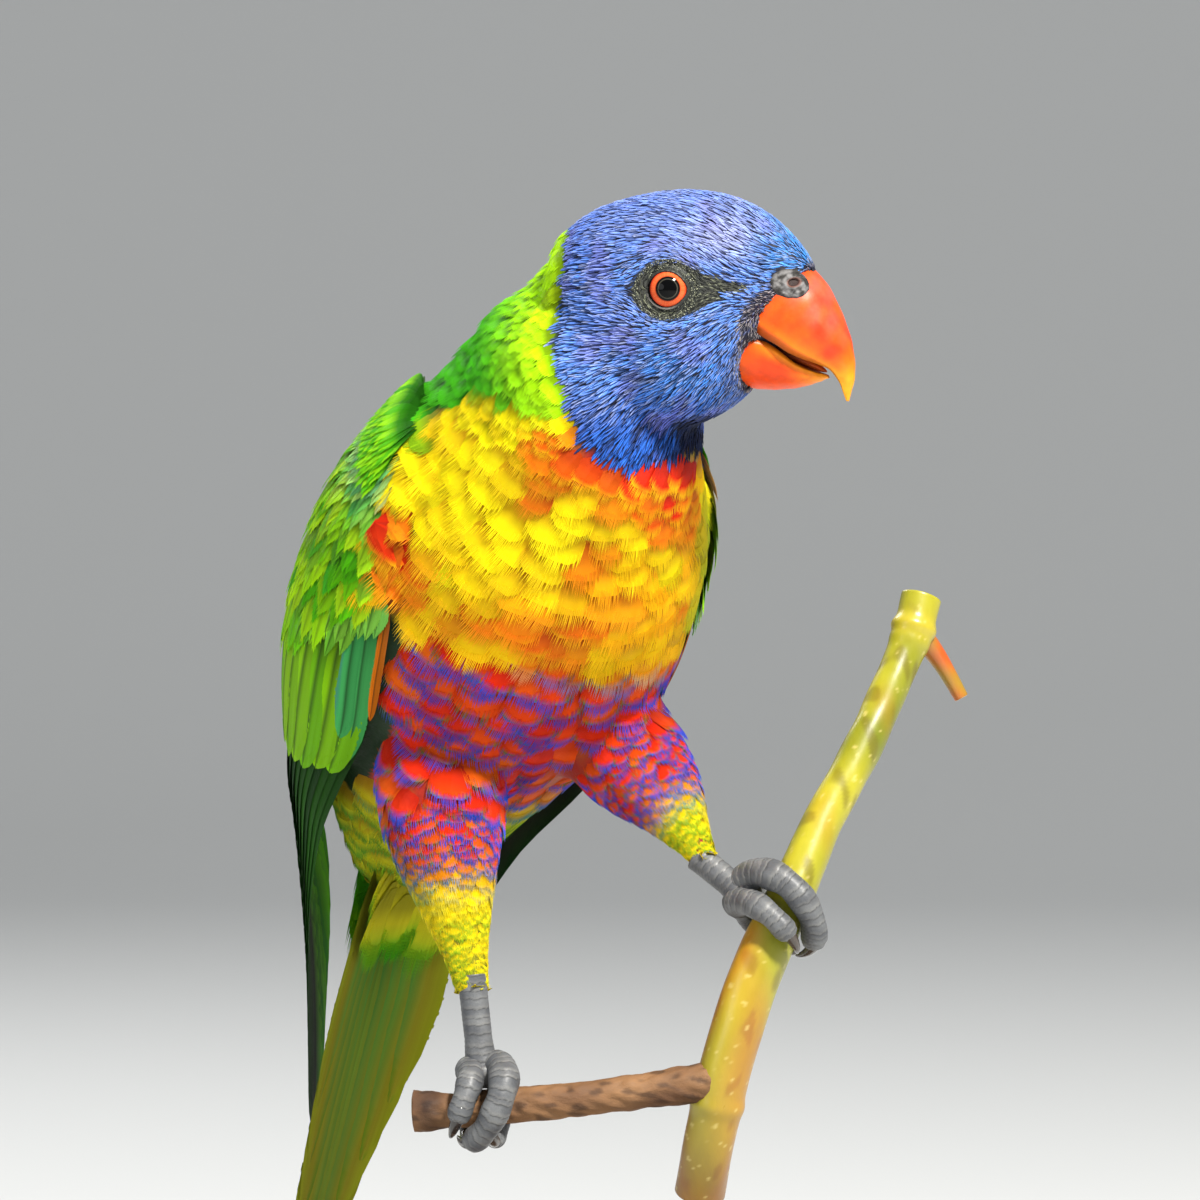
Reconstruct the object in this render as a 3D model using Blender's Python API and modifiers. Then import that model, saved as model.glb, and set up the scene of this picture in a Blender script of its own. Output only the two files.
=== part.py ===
"""A rainbow lorikeet, life size, gripping a short cut length of forked stem on a plain display stand.

Metres, +Z up. The bird's body faces -Y, its left side is +X, and its head is turned 50 degrees to its left.
The origin is the centre of the underside of the stand's base. All sizes below are in millimetres.
"""

import math

import bmesh
import bpy
import numpy as np
from mathutils import Matrix, Vector

MM = 0.001

# ------------------------------------------------------------------ driving sizes, in mm
LIFT = 163.0  # from the base's underside up to the level that the body tables below are measured from
BACK = -17.0  # the tables' y = 0 lies this far behind the base's centre
GAP = 0.35  # clearance between neighbouring solids

# trunk and neck: x, y, z, half width, dorsal depth, ventral depth, from the vent to inside the head
TRUNK = [
    (-5.0, 63.5, -52.5, 7.5, 5.0, 6.0),
    (-5.0, 59.3, -45.2, 13.0, 9.0, 10.5),
    (-4.8, 50.0, -31.0, 22.0, 16.0, 19.5),
    (-4.6, 40.0, -16.1, 29.5, 21.0, 28.0),
    (-4.4, 31.5, -4.5, 32.4, 23.5, 33.0),
    (-4.2, 23.1, 6.5, 32.6, 24.5, 33.0),
    (-4.3, 10.5, 18.0, 29.4, 23.6, 30.5),
    (-5.2, -2.9, 29.0, 21.8, 25.0, 21.5),
    (-5.0, -10.5, 39.0, 18.8, 24.0, 14.0),
    (0.5, -15.0, 49.0, 14.5, 22.5, 12.5),
]
# outer face of the folded wings: x, y, z, half width, dorsal depth, and the angles of the wing's lower
# and upper edges round the body (0 is straight out to the side, 90 is the middle of the back)
WING = [
    (-4.4, 5.5, 22.5, 27.6, 24.4, 8.0, 34.0),
    (-4.4, 9.5, 19.4, 31.0, 26.4, -10.0, 55.0),
    (-4.4, 16.0, 13.0, 34.0, 28.6, -23.0, 71.0),
    (-4.4, 23.1, 6.5, 35.6, 29.2, -32.0, 78.0),
    (-4.4, 31.5, -4.5, 36.4, 28.8, -38.0, 82.0),
    (-4.6, 40.0, -16.1, 34.2, 26.5, -38.0, 84.0),
    (-4.8, 50.0, -31.0, 28.8, 20.5, -28.0, 85.0),
    (-5.0, 59.3, -45.2, 22.0, 15.0, -12.0, 85.0),
    (-5.0, 69.0, -63.5, 15.5, 10.8, 12.0, 84.0),
    (-5.0, 79.0, -82.5, 10.0, 8.0, 26.0, 82.0),
    (-5.0, 88.5, -100.5, 5.5, 6.0, 42.0, 78.0),
]
WING_THICK = (1.8, 4.5, 6.5, 7.0, 6.5, 5.5, 4.0, 2.6, 1.8, 1.3, 0.9)

# tail: distance along it, half width, half thickness
TAIL_ROOT = (-5.0, 56.0, -41.5)
TAIL_WAY = (0.0, 0.470, -0.883)
TAIL = [
    (0.0, 8.5, 3.4),
    (15.0, 10.5, 3.2),
    (35.0, 11.0, 2.6),
    (60.0, 9.6, 2.0),
    (85.0, 7.0, 1.5),
    (105.0, 4.4, 1.0),
    (118.0, 2.4, 0.7),
    (123.0, 0.9, 0.4),
]

# head, in its own frame: X forward, Y left, Z up, from the point between the eyes
HEAD_AT = (5.6, -19.3, 50.0)
HEAD_YAW = -40.0  # of the head's forward axis, from +X
HEAD = [  # X, top, bottom, half width
    (-23.4, 4.0, -7.0, 5.0),
    (-20.8, 10.2, -13.0, 10.0),
    (-14.5, 14.6, -19.0, 14.2),
    (-7.0, 16.9, -22.0, 15.8),
    (0.0, 17.7, -22.5, 15.3),
    (6.0, 17.1, -20.8, 13.3),
    (10.2, 15.8, -18.0, 11.2),
    (13.5, 14.2, -14.0, 8.9),
    (16.8, 11.6, -8.8, 6.8),
    (19.8, 8.4, -4.2, 5.3),
    (21.8, 5.2, -0.8, 3.9),
    (22.9, 2.8, 0.4, 1.8),
]
EYE_AT = (-0.5, 11.6, 0.6)
EYE_R = 4.4
# upper mandible: ridge X, Z, cutting edge X, Z, half width
UPPER = [
    (18.6, 6.0, 11.0, -5.0, 6.2),
    (21.2, 4.4, 13.0, -6.5, 6.8),
    (24.0, 1.4, 16.0, -8.3, 6.9),
    (26.3, -3.0, 19.2, -10.3, 6.1),
    (27.9, -7.4, 22.2, -11.5, 4.8),
    (28.6, -11.4, 24.8, -12.7, 3.3),
    (28.5, -14.6, 26.3, -14.9, 1.9),
    (27.6, -18.0, 27.2, -17.9, 0.5),
]
# lower mandible: cutting edge X, Z, keel X, Z, half width
LOWER = [
    (8.4, -6.2, 7.0, -14.2, 5.6),
    (11.4, -7.2, 10.2, -15.6, 6.4),
    (15.2, -8.4, 14.2, -16.1, 5.9),
    (19.3, -11.6, 18.9, -15.8, 4.3),
    (22.1, -13.0, 22.3, -14.9, 2.7),
    (24.0, -13.6, 24.3, -14.1, 0.9),
]

# the stem: x, y, z, radius. The main stem runs from its upper cut end, under the left foot, down to the rod
STEM = [
    (61.5, -2.7, -2.2, 3.5),
    (58.4, -3.8, -9.9, 3.4),
    (52.8, -5.3, -19.1, 3.3),
    (47.5, -6.7, -27.4, 3.4),
    (38.9, -7.9, -39.9, 3.5),
    (31.5, -9.5, -52.4, 4.1),
    (25.6, -10.2, -62.4, 4.5),
    (21.6, -9.7, -72.5, 4.5),
    (19.2, -7.8, -83.6, 4.4),
    (18.4, -4.5, -94.6, 4.4),
    (18.7, -1.2, -102.7, 4.4),
]
BRANCH = [
    (19.2, -7.9, -83.1, 3.9),
    (9.1, -4.4, -84.3, 3.2),
    (-1.4, -0.4, -85.6, 3.0),
    (-12.4, 4.6, -86.7, 3.2),
    (-21.2, 9.5, -87.6, 3.0),
    (-27.9, 14.1, -88.0, 3.6),
]
NODE = 0.07  # the swollen joint near the stem's upper end, along its length
SHOOT = ((0, 0, 0), (3.0, 0.5, -2.6), (5.6, 0.6, -5.6), (7.6, 0.2, -8.8), (9.2, -0.6, -12.0))  # a side shoot cut short, from that joint
ROD_R = 2.5
BASE_R, BASE_H = 58.0, 9.0

# legs: hip inside the trunk, knee bulge, ankle, and where each foot grips
LEGS = {
    "left": dict(hip=(8.0, 24.0, -20.0), knee=(16.0, 9.5, -34.0), ankle=(20.8, -0.7, -47.2), grip=0.525, palm=(-0.813, 0.451, 0.37),
                 radii=(8.0, 9.6, 10.4, 10.3, 9.4, 8.0, 6.5, 5.1, 4.0, 3.2)),
    "right": dict(hip=(-17.0, 27.0, -25.0), knee=(-19.0, 19.0, -45.0), ankle=(-18.2, 11.0, -69.0), grip=0.72, palm=(0.0, 0.25, 1.0),
                  radii=(9.0, 10.5, 11.0, 10.8, 10.0, 8.8, 7.2, 5.7, 4.5, 3.7)),
}


# ------------------------------------------------------------------ helpers
def along(table, t):
    """Row at t in 0..1 of a table, by a Catmull-Rom curve through its rows."""
    rows = np.asarray(table, float)
    n = len(rows) - 1
    x = min(max(t, 0.0), 1.0) * n
    i = min(int(x), n - 1)
    f = x - i
    p1, p2 = rows[i], rows[i + 1]
    p0 = rows[i - 1] if i else 2 * p1 - p2
    p3 = rows[i + 2] if i + 2 <= n else 2 * p2 - p1
    return 0.5 * (2 * p1 + (p2 - p0) * f + (2 * p0 - 5 * p1 + 4 * p2 - p3) * f * f + (3 * p1 - p0 - 3 * p2 + p3) * f**3)


def slope(table, t, cols):
    a, b = along(table, max(t - 0.01, 0)), along(table, min(t + 0.01, 1))
    v = (b - a)[list(cols)]
    return v / np.linalg.norm(v)


def place(p):
    """From the tables' millimetres to the part's metres."""
    return Vector((p[0] * MM, (p[1] + BACK) * MM, (p[2] + LIFT) * MM))


YAW = math.radians(HEAD_YAW)


def head_point(p):
    x, y, z = p
    return (
        HEAD_AT[0] + x * math.cos(YAW) - y * math.sin(YAW),
        HEAD_AT[1] + x * math.sin(YAW) + y * math.cos(YAW),
        HEAD_AT[2] + z,
    )


def material(name, colour, rough, metal=0.0):
    m = bpy.data.materials.new(name)
    m.use_nodes = True
    bsdf = m.node_tree.nodes["Principled BSDF"]
    bsdf.inputs["Base Color"].default_value = (*colour, 1)
    bsdf.inputs["Roughness"].default_value = rough
    bsdf.inputs["Metallic"].default_value = metal
    m.diffuse_color = (*colour, 1)
    return m


def new_object(name, mesh, where):
    o = bpy.data.objects.new(name, mesh)
    where.objects.link(o)
    return o


def loft(name, rings, where, mat=None):
    """A closed skin through rings of equal length, each given in order round the axis, with a point at the middle of each end."""
    bm = bmesh.new()
    rows = [[bm.verts.new(place(p)) for p in ring] for ring in rings]
    n = len(rows[0])
    for a, b in zip(rows, rows[1:]):
        for j in range(n):
            bm.faces.new((a[j], a[(j + 1) % n], b[(j + 1) % n], b[j]))
    for row in (rows[0], rows[-1]):
        middle = bm.verts.new(sum((v.co for v in row), Vector()) / n)
        for j in range(n):
            bm.faces.new((row[j], row[(j + 1) % n], middle))
    bmesh.ops.recalc_face_normals(bm, faces=bm.faces)
    mesh = bpy.data.meshes.new(name)
    bm.to_mesh(mesh)
    bm.free()
    mesh.shade_smooth()
    if mat:
        mesh.materials.append(mat)
    return new_object(name, mesh, where)


def tube(name, path, radii, where, sides=10, mat=None, flat=1.0, up=(0, 0, 1)):
    """A round or flattened bar along a path of points, with its own radius at each."""
    pts = [Vector(p) for p in path]
    rings, side = [], None
    for i, p in enumerate(pts):
        way = (pts[min(i + 1, len(pts) - 1)] - pts[max(i - 1, 0)]).normalized()
        side = (way.cross(Vector(up)) if side is None else side - way * side.dot(way)).normalized()
        top = side.cross(way)
        ring = []
        for j in range(sides):
            a = 2 * math.pi * j / sides
            ring.append(p + (side * math.cos(a) + top * math.sin(a) * flat) * radii[i])
        rings.append(ring)
    return loft(name, rings, where, mat)


def evaluated(o):
    """The object's mesh with its modifiers applied, in place of the object's own."""
    bpy.context.view_layer.update()
    graph = bpy.context.evaluated_depsgraph_get()
    mesh = bpy.data.meshes.new_from_object(o.evaluated_get(graph))
    o.modifiers.clear()
    o.data = mesh
    return o


def boolean(o, other, how, solver="EXACT"):
    m = o.modifiers.new(how.lower(), "BOOLEAN")
    m.operation, m.object, m.solver = how, other, solver
    return evaluated(o)


def hide(o):
    o.hide_render = True
    o.display_type = "WIRE"
    cutters.objects.link(o)
    for c in list(o.users_collection):
        if c != cutters:
            c.objects.unlink(o)


def grown(o, by):
    """A copy of a solid, fatter by a clearance, to cut its neighbours with."""
    c = o.copy()
    c.data = o.data.copy()
    c.name = o.name + "_cut"
    cutters.objects.link(c)
    m = c.modifiers.new("grow", "DISPLACE")
    m.mid_level, m.strength, m.direction = 0.0, by * MM, "NORMAL"
    evaluated(c)
    c.hide_render = True
    c.display_type = "WIRE"
    return c


def drop(o):
    bpy.data.objects.remove(o)


def largest(o):
    """Keeps only the largest connected piece, so that no sliver from a cut stays."""
    bm = bmesh.new()
    bm.from_mesh(o.data)
    for p in pieces_of(bm)[1:]:
        bmesh.ops.delete(bm, geom=p, context="VERTS")
    bm.to_mesh(o.data)
    bm.free()
    return o


def pieces_of(bm):
    seen, found = set(), []
    for start in bm.verts:
        if start in seen:
            continue
        stack, piece = [start], []
        seen.add(start)
        while stack:
            v = stack.pop()
            piece.append(v)
            for e in v.link_edges:
                w = e.other_vert(v)
                if w not in seen:
                    seen.add(w)
                    stack.append(w)
        found.append(piece)
    return sorted(found, key=len, reverse=True)


def tidy(o, mat, triangles=None):
    """Welds what a cut left, thins the mesh to a number of triangles, and shades it smooth."""
    bm = bmesh.new()
    bm.from_mesh(o.data)
    bmesh.ops.remove_doubles(bm, verts=bm.verts, dist=0.000002)
    bmesh.ops.triangulate(bm, faces=bm.faces)
    bm.to_mesh(o.data)
    count = len(bm.faces)
    bm.free()
    if triangles and count > triangles:
        m = o.modifiers.new("thin", "DECIMATE")
        m.ratio = triangles / count
        evaluated(o)
    o.data.materials.clear()
    o.data.materials.append(mat)
    o.data.shade_smooth()
    o.data.set_sharp_from_angle(angle=math.radians(50))
    return o


def ellipse(centre, side, top, w, up, down, n, power=2.0):
    """Points round an egg-shaped section: half width w, and its own depth above and below the centre."""
    ring = []
    for j in range(n):
        a = 2 * math.pi * j / n
        c, s = math.cos(a), math.sin(a)
        c, s = (math.copysign(abs(v) ** (2 / power), v) for v in (c, s))
        d = up if s > 0 else down
        ring.append(Vector(centre) + Vector(side) * (c * w) + Vector(top) * (s * d))
    return ring


# ------------------------------------------------------------------ the scene
for o in list(bpy.data.objects):
    bpy.data.objects.remove(o)
root = bpy.context.scene.collection
bird = bpy.data.collections.new("rainbow_lorikeet")
cutters = bpy.data.collections.new("cutters")
root.children.link(bird)
root.children.link(cutters)

blue = material("blue_feathers", (0.10, 0.16, 0.60), 0.6)
lime = material("lime_feathers", (0.42, 0.75, 0.02), 0.6)
orange = material("breast_feathers", (0.95, 0.45, 0.02), 0.6)
green = material("green_feathers", (0.08, 0.42, 0.03), 0.55)
horn = material("orange_bill", (0.93, 0.22, 0.02), 0.3)
iris = material("orange_eye", (0.85, 0.17, 0.03), 0.1)
scaly = material("grey_scaly_foot", (0.16, 0.17, 0.17), 0.5)
bark = material("green_bark", (0.36, 0.38, 0.06), 0.55)
brown = material("brown_bark", (0.16, 0.08, 0.03), 0.7)
steel = material("brushed_steel_rod", (0.6, 0.6, 0.6), 0.3, 1.0)
wood = material("dark_wood_base", (0.10, 0.055, 0.03), 0.4)

# ------------------------------------------------------------------ trunk and neck
SECTION = 24


def body_frame(table, t):
    """Centre, direction towards the head, and the dorsal direction, at t along a table that starts with x, y, z."""
    way = slope(table, t, (1, 2))
    dorsal = Vector((0, -way[1], way[0]))
    return Vector(along(table, t)[:3]), Vector((0, way[0], way[1])), dorsal if dorsal.z > 0 else -dorsal


def trunk_rings():
    rings = []
    for i in range(31):
        t = i / 30
        centre, way, dorsal = body_frame(TRUNK, t)
        w, d, v = along(TRUNK, t)[3:]
        rings.append(ellipse(centre, (1, 0, 0), dorsal, w, d, v, SECTION, 2.15))
    return rings


trunk = loft("trunk", trunk_rings(), bird)


# ------------------------------------------------------------------ head
def head_rings():
    rings = []
    for i in range(25):
        x, top, bottom, w = along(HEAD, i / 24)
        centre = top - 0.47 * (top - bottom)
        ring = ellipse((x, 0, centre), (0, 1, 0), (0, 0, 1), w, top - centre, centre - bottom, SECTION, 2.2)
        rings.append([head_point(p) for p in ring])
    return rings


head = loft("head", head_rings(), bird)

# one body, blended where head and neck meet, then parted with thin cuts
flesh = boolean(trunk, head, "UNION")
drop(head)
blend = flesh.modifiers.new("blend", "REMESH")
blend.mode, blend.voxel_size = "VOXEL", 1.3 * MM
soften = flesh.modifiers.new("soften", "SMOOTH")
soften.factor, soften.iterations = 0.5, 6
thin = flesh.modifiers.new("thin", "DECIMATE")
thin.ratio = 0.043
evaluated(flesh)
flesh.name = "flesh"


# ------------------------------------------------------------------ wings
def wing_rings(side):
    """Sections across the folded wing, root to tip: the outer face follows the body's round, and the inner face lies a thickness below it."""
    rings, n = [], 8
    for i in range(18):
        t = i / 17
        centre, way, dorsal = body_frame(WING, t)
        w, d, low, high = along(WING, t)[3:]
        thick = float(along([[v] for v in WING_THICK], t)[0])
        outer, inner = [], []
        for j in range(n):
            f = j / (n - 1)
            a = math.radians(low + (high - low) * f)
            c, s = math.cos(a), math.sin(a)
            depth = d if s > 0 else d * 1.1
            edge = max(0.0, 1 - (2 * f - 1) ** 4)
            here = Vector((c * w * side, 0, 0)) + dorsal * (s * depth)
            out = Vector((c / w * side, 0, 0)) + dorsal * (s / depth)
            out.normalize()
            t_here = max(0.7, thick * (0.22 + 0.78 * edge))
            outer.append(centre + here)
            inner.append(centre + here - out * t_here)
        rings.append(outer + inner[::-1])
    return rings


wings = {}
for side, name in ((1, "wing_left"), (-1, "wing_right")):
    wings[name] = loft(name, wing_rings(side), bird, green)

# ------------------------------------------------------------------ tail
tail_way = Vector(TAIL_WAY).normalized()
tail_top = Vector((0, -tail_way.z, tail_way.y))
tail_rings = []
for i in range(12):
    s, w, h = along(TAIL, i / 11)
    tail_rings.append(ellipse(Vector(TAIL_ROOT) + tail_way * s, (1, 0, 0), tail_top, w, h, h, 14, 2.6))
tail = loft("tail", tail_rings, bird, green)


# ------------------------------------------------------------------ bill
def bill_rings(table, upper):
    """Sections of a mandible. Its two cutting edges are corners, and the face between them is hollowed."""
    rings = []
    for i in range(13):
        rx, rz, ex, ez, w = along(table, i / 12)
        if not upper:  # the lower mandible's ridge is its keel
            rx, rz, ex, ez = ex, ez, rx, rz
        ridge, edge = Vector((rx, 0, rz)), Vector((ex, 0, ez))
        down = edge - ridge
        ring = []
        for j in range(9):  # from one cutting edge over the ridge to the other
            a = math.pi * j / 8
            y = w * math.cos(a)
            f = 1 - math.sin(a) ** 0.85
            ring.append(ridge + down * f + Vector((0, y * (1.0 + 0.10 * math.sin(2 * a) ** 2), 0)))
        for j in range(1, 4):  # back under it
            y = -w + 2 * w * j / 4
            hollow = 0.30 * (1 - (y / w) ** 2)
            ring.append(ridge + down * (1 - hollow) + Vector((0, y, 0)))
        rings.append([head_point(p) for p in ring])
    return rings


bill_upper = loft("bill_upper", bill_rings(UPPER, True), bird, horn)
bill_lower = loft("bill_lower", bill_rings(LOWER, False), bird, horn)
for o in (bill_upper, bill_lower):
    tidy(o, horn)
bill_lower = boolean(bill_lower, grown(bill_upper, GAP), "DIFFERENCE")
largest(bill_lower)
tidy(bill_lower, horn)

# ------------------------------------------------------------------ eyes
eyes = []
for s, name in ((1, "eye_left"), (-1, "eye_right")):
    x, y, z = EYE_AT
    bpy.ops.mesh.primitive_uv_sphere_add(segments=16, ring_count=8, radius=EYE_R * MM, location=place(head_point((x, y * s, z))), rotation=(math.pi / 2, 0, YAW))
    e = bpy.context.object
    e.name = e.data.name = name
    root.objects.unlink(e) if e.name in root.objects else None
    for c in list(e.users_collection):
        c.objects.unlink(e)
    bird.objects.link(e)
    e.data.shade_smooth()
    e.data.materials.append(iris)
    eyes.append(e)

def slab(name, centre, normal, thick=0.4, size=90.0):
    bpy.ops.mesh.primitive_cube_add(size=1)
    o = bpy.context.object
    o.name = name
    o.dimensions = (size * MM, size * MM, thick * MM)
    bpy.ops.object.transform_apply(location=False, rotation=False, scale=True)
    o.rotation_mode = "QUATERNION"
    o.rotation_quaternion = Vector((0, 0, 1)).rotation_difference(Vector(normal))
    o.location = place(centre)
    hide(o)
    return o


neck_low = slab("cut_neck_trunk", (0, 0.5, 31.5), Vector((0, -0.62, 0.78)).normalized())
neck_high = slab("cut_head_neck", (-1.0, -10.0, 38.5), Vector((0.22, -0.50, 0.84)).normalized())
for c in (neck_low, neck_high):
    flesh = boolean(flesh, c, "DIFFERENCE")
bm = bmesh.new()
bm.from_mesh(flesh.data)
parts = pieces_of(bm)[:3]
named = sorted(parts, key=lambda p: sum(v.co.z for v in p) / len(p))
for name, part, mat in zip(("trunk", "neck", "head"), named, (orange, lime, blue)):
    copy = bm.copy()
    copy.verts.ensure_lookup_table()
    bm.verts.index_update()
    keep = {v.index for v in part}
    bmesh.ops.delete(copy, geom=[v for i, v in enumerate(copy.verts) if i not in keep], context="VERTS")
    mesh = bpy.data.meshes.new(name)
    copy.to_mesh(mesh)
    copy.free()
    new_object(name, mesh, bird)
bm.free()
drop(flesh)

# each makes room for what is set in it
rooms = {o.name: grown(o, GAP) for o in (bill_upper, bill_lower, *eyes, tail)}
rooms.update({o.name: grown(o, 1.8 * GAP) for o in wings.values()})
for name, mat, inside in (
    ("head", blue, ("bill_upper", "bill_lower", "eye_left", "eye_right")),
    ("neck", lime, ("wing_left", "wing_right")),
    ("trunk", orange, ("tail", "wing_left", "wing_right")),
):
    o = bpy.data.objects[name]
    for other in inside:
        o = largest(boolean(o, rooms[other], "DIFFERENCE", "MANIFOLD"))
    tidy(o, mat)
trunk, neck, head = (bpy.data.objects[n] for n in ("trunk", "neck", "head"))

# ------------------------------------------------------------------ perch
def stem_path(table, steps):
    rows = [along(table, i / steps) for i in range(steps + 1)]
    return [r[:3] for r in rows], [r[3] for r in rows]


path, radii = stem_path(STEM, 22)
radii = [r + 0.9 * math.exp(-(((i / 22) - NODE) / 0.05) ** 2) for i, r in enumerate(radii)]
perch = tube("perch_stem", path, radii, bird, 12)
at = along(STEM, NODE)[:3]
stub = tube("stub", [at + np.array(p) for p in SHOOT], (2.6, 2.1, 1.8, 1.7, 1.6), bird, 8)
perch = boolean(perch, stub, "UNION")
drop(stub)
tidy(perch, bark)
path, radii = stem_path(BRANCH, 10)
branch = tube("perch_branch", path, radii, bird, 10)
branch = largest(boolean(branch, grown(perch, GAP), "DIFFERENCE"))
tidy(branch, brown)

# ------------------------------------------------------------------ feet
TOES = (  # which way round the stem, shift along it at root, arch and tip, sweep in degrees, radius at root and tip, claw length
    ("front_inner", 1, -2.1, 1.0, -4.2, 102.0, 2.55, 2.05, 6.4),
    ("front_outer", 1, 2.1, 3.1, -2.0, 160.0, 2.85, 2.25, 7.0),
    ("back_inner", -1, -1.8, 0.3, -3.4, 112.0, 1.95, 1.65, 5.5),
    ("back_outer", -1, 2.0, 0.8, 1.2, 160.0, 2.2, 1.8, 6.4),
)
PALM_R = 3.3
TARSUS_R = 2.5


def foot(name, table, t, ankle, up, where):
    """A perching foot, two toes forward and two back, wound round the stem at t along it. Each toe ends in a hooked claw."""
    row = along(table, t)
    centre, stem_r = Vector(row[:3]), row[3]
    axis = Vector(slope(table, t, (0, 1, 2)))
    ankle, up = Vector(ankle), Vector(up)
    up = (up - axis * up.dot(axis)).normalized()
    front = axis.cross(up)
    if front.dot(Vector((-0.3, -1, 0))) < 0:
        front, axis = -front, -axis
    if axis.z < -0.5 or (abs(axis.z) < 0.5 and axis.x < 0):
        axis = -axis
    palm = centre + up * (stem_r + PALM_R * 0.7 + GAP)
    shank = [ankle + (ankle - palm) * 0.3, ankle, palm.lerp(ankle, 0.45), palm]
    solids = [tube(name, shank, (TARSUS_R, TARSUS_R, TARSUS_R * 0.92, PALM_R * 0.9), where, 12, up=(1, 0.2, 0))]
    bpy.ops.mesh.primitive_uv_sphere_add(segments=16, ring_count=10, radius=PALM_R * MM, location=place(palm))
    ball = bpy.context.object
    ball.scale = (1.05, 1.05, 0.8)
    ball.rotation_mode = "QUATERNION"
    ball.rotation_quaternion = Vector((0, 0, 1)).rotation_difference(up)
    bpy.context.view_layer.update()
    ball.data.transform(ball.matrix_world)
    ball.matrix_world = Matrix.Identity(4)
    solids.append(ball)
    for label, turn, s0, arch, s1, sweep, r0, r1, claw in TOES:
        pts, rr = [], []
        steps = 16
        for i in range(steps + 1):
            f = i / steps
            a = math.radians(sweep) * f
            r = r0 + (r1 - r0) * f
            out = stem_r + r + GAP + 0.1 + 0.45 * math.exp(-((f / 0.25) ** 2))
            shift = s0 + (s1 - s0) * f + arch * math.sin(math.pi * f**0.8)
            pts.append(centre + (up * math.cos(a) + front * turn * math.sin(a)) * out + axis * shift)
            rr.append(r * (1 + 0.04 * math.cos(f * 6 * math.pi)) * (1.0 if i < steps else 0.75))
        solids.append(tube(label, pts, rr, where, 12))
        last = pts[-1]
        way = (pts[-1] - pts[-2]).normalized()
        inward = centre - last
        inward = (inward - axis * inward.dot(axis)).normalized()
        cpts, cr = [], []
        for i in range(9):
            f = i / 8
            bend = math.radians(70) * f
            step = (way * math.sin(bend) + inward * (1 - math.cos(bend)) * 0.8) / math.radians(70)
            cpts.append(last - way * 1.2 + step * claw * 1.2 - inward * 0.5)
            cr.append(1.5 * (1 - f) ** 0.7 + 0.22)
        solids.append(tube(label + "_claw", cpts, cr, where, 10))
    bpy.ops.object.select_all(action="DESELECT")
    for o in solids:
        o.select_set(True)
    bpy.context.view_layer.objects.active = solids[0]
    bpy.ops.object.join()
    whole = solids[0]
    whole.name = name
    m = whole.modifiers.new("one", "REMESH")
    m.mode, m.voxel_size = "VOXEL", 0.36 * MM
    m = whole.modifiers.new("soften", "SMOOTH")
    m.factor, m.iterations = 0.4, 2
    evaluated(whole)
    return largest(whole)


FEET = {"left": (STEM, LEGS["left"]["grip"]), "right": (BRANCH, LEGS["right"]["grip"])}
perch_room = {"left": grown(perch, GAP), "right": grown(branch, GAP)}
trunk_room = grown(trunk, GAP)
wing_rooms = [grown(w, GAP) for w in wings.values()]
for side, leg in LEGS.items():
    table, t = FEET[side]
    f = foot("foot_" + side, table, t, leg["ankle"], leg["palm"], bird)
    tidy(f, scaly, 680)
    f = largest(boolean(f, perch_room[side], "DIFFERENCE"))
    tidy(f, scaly)
    hip, knee, ankle = (Vector(leg[k]) for k in ("hip", "knee", "ankle"))
    path = [along([hip, knee, ankle], i / 9) for i in range(10)]
    thigh = tube("leg_" + side, path, leg["radii"], bird, 14, flat=1.1, up=(1, 0, 0))
    for c in (trunk_room, grown(f, GAP), *wing_rooms):
        thigh = boolean(thigh, c, "DIFFERENCE")
    largest(thigh)
    tidy(thigh, lime)

# ------------------------------------------------------------------ stand
foot_at = STEM[-1]
end = along(STEM, 1.0)
rod_top = end[2] + 6.0
bpy.ops.mesh.primitive_cylinder_add(vertices=24, radius=ROD_R * MM, depth=(rod_top + LIFT - BASE_H + 4.0) * MM)
rod = bpy.context.object
rod.name = rod.data.name = "stand_rod"
rod.location = (end[0] * MM, (end[1] + BACK) * MM, (BASE_H - 4.0 + (rod_top + LIFT - BASE_H + 4.0) / 2) * MM)
rod.data.materials.append(steel)
bpy.ops.mesh.primitive_cylinder_add(vertices=40, radius=BASE_R * MM, depth=BASE_H * MM, location=(0, 0, BASE_H / 2 * MM))
base = bpy.context.object
base.name = base.data.name = "stand_base"
base.data.materials.append(wood)
edge = base.modifiers.new("rounded", "BEVEL")
edge.width, edge.segments, edge.limit_method, edge.angle_limit = 1.4 * MM, 1, "ANGLE", math.radians(50)
evaluated(base)
for o in (rod, base):
    for c in list(o.users_collection):
        c.objects.unlink(o)
    bird.objects.link(o)
bpy.context.view_layer.update()
socket = grown(rod, GAP)
base = boolean(base, socket, "DIFFERENCE")
perch = boolean(perch, socket, "DIFFERENCE")
largest(perch)
tidy(base, wood)
tidy(perch, bark)
for o in (rod, base):
    o.data.shade_smooth()
    o.data.set_sharp_from_angle(angle=math.radians(40))

for o in list(bird.objects):
    print(o.name, len(o.data.polygons))
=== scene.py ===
"""A rainbow lorikeet, life size, gripping a short cut length of forked stem on a plain display stand: its surfaces.

The tables are in millimetres, in the same places as the solids they dress. Everything built is in metres, +Z up.
"""

import math

import bmesh
import bpy
import numpy as np
from mathutils import Matrix, Vector
from mathutils.bvhtree import BVHTree


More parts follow.
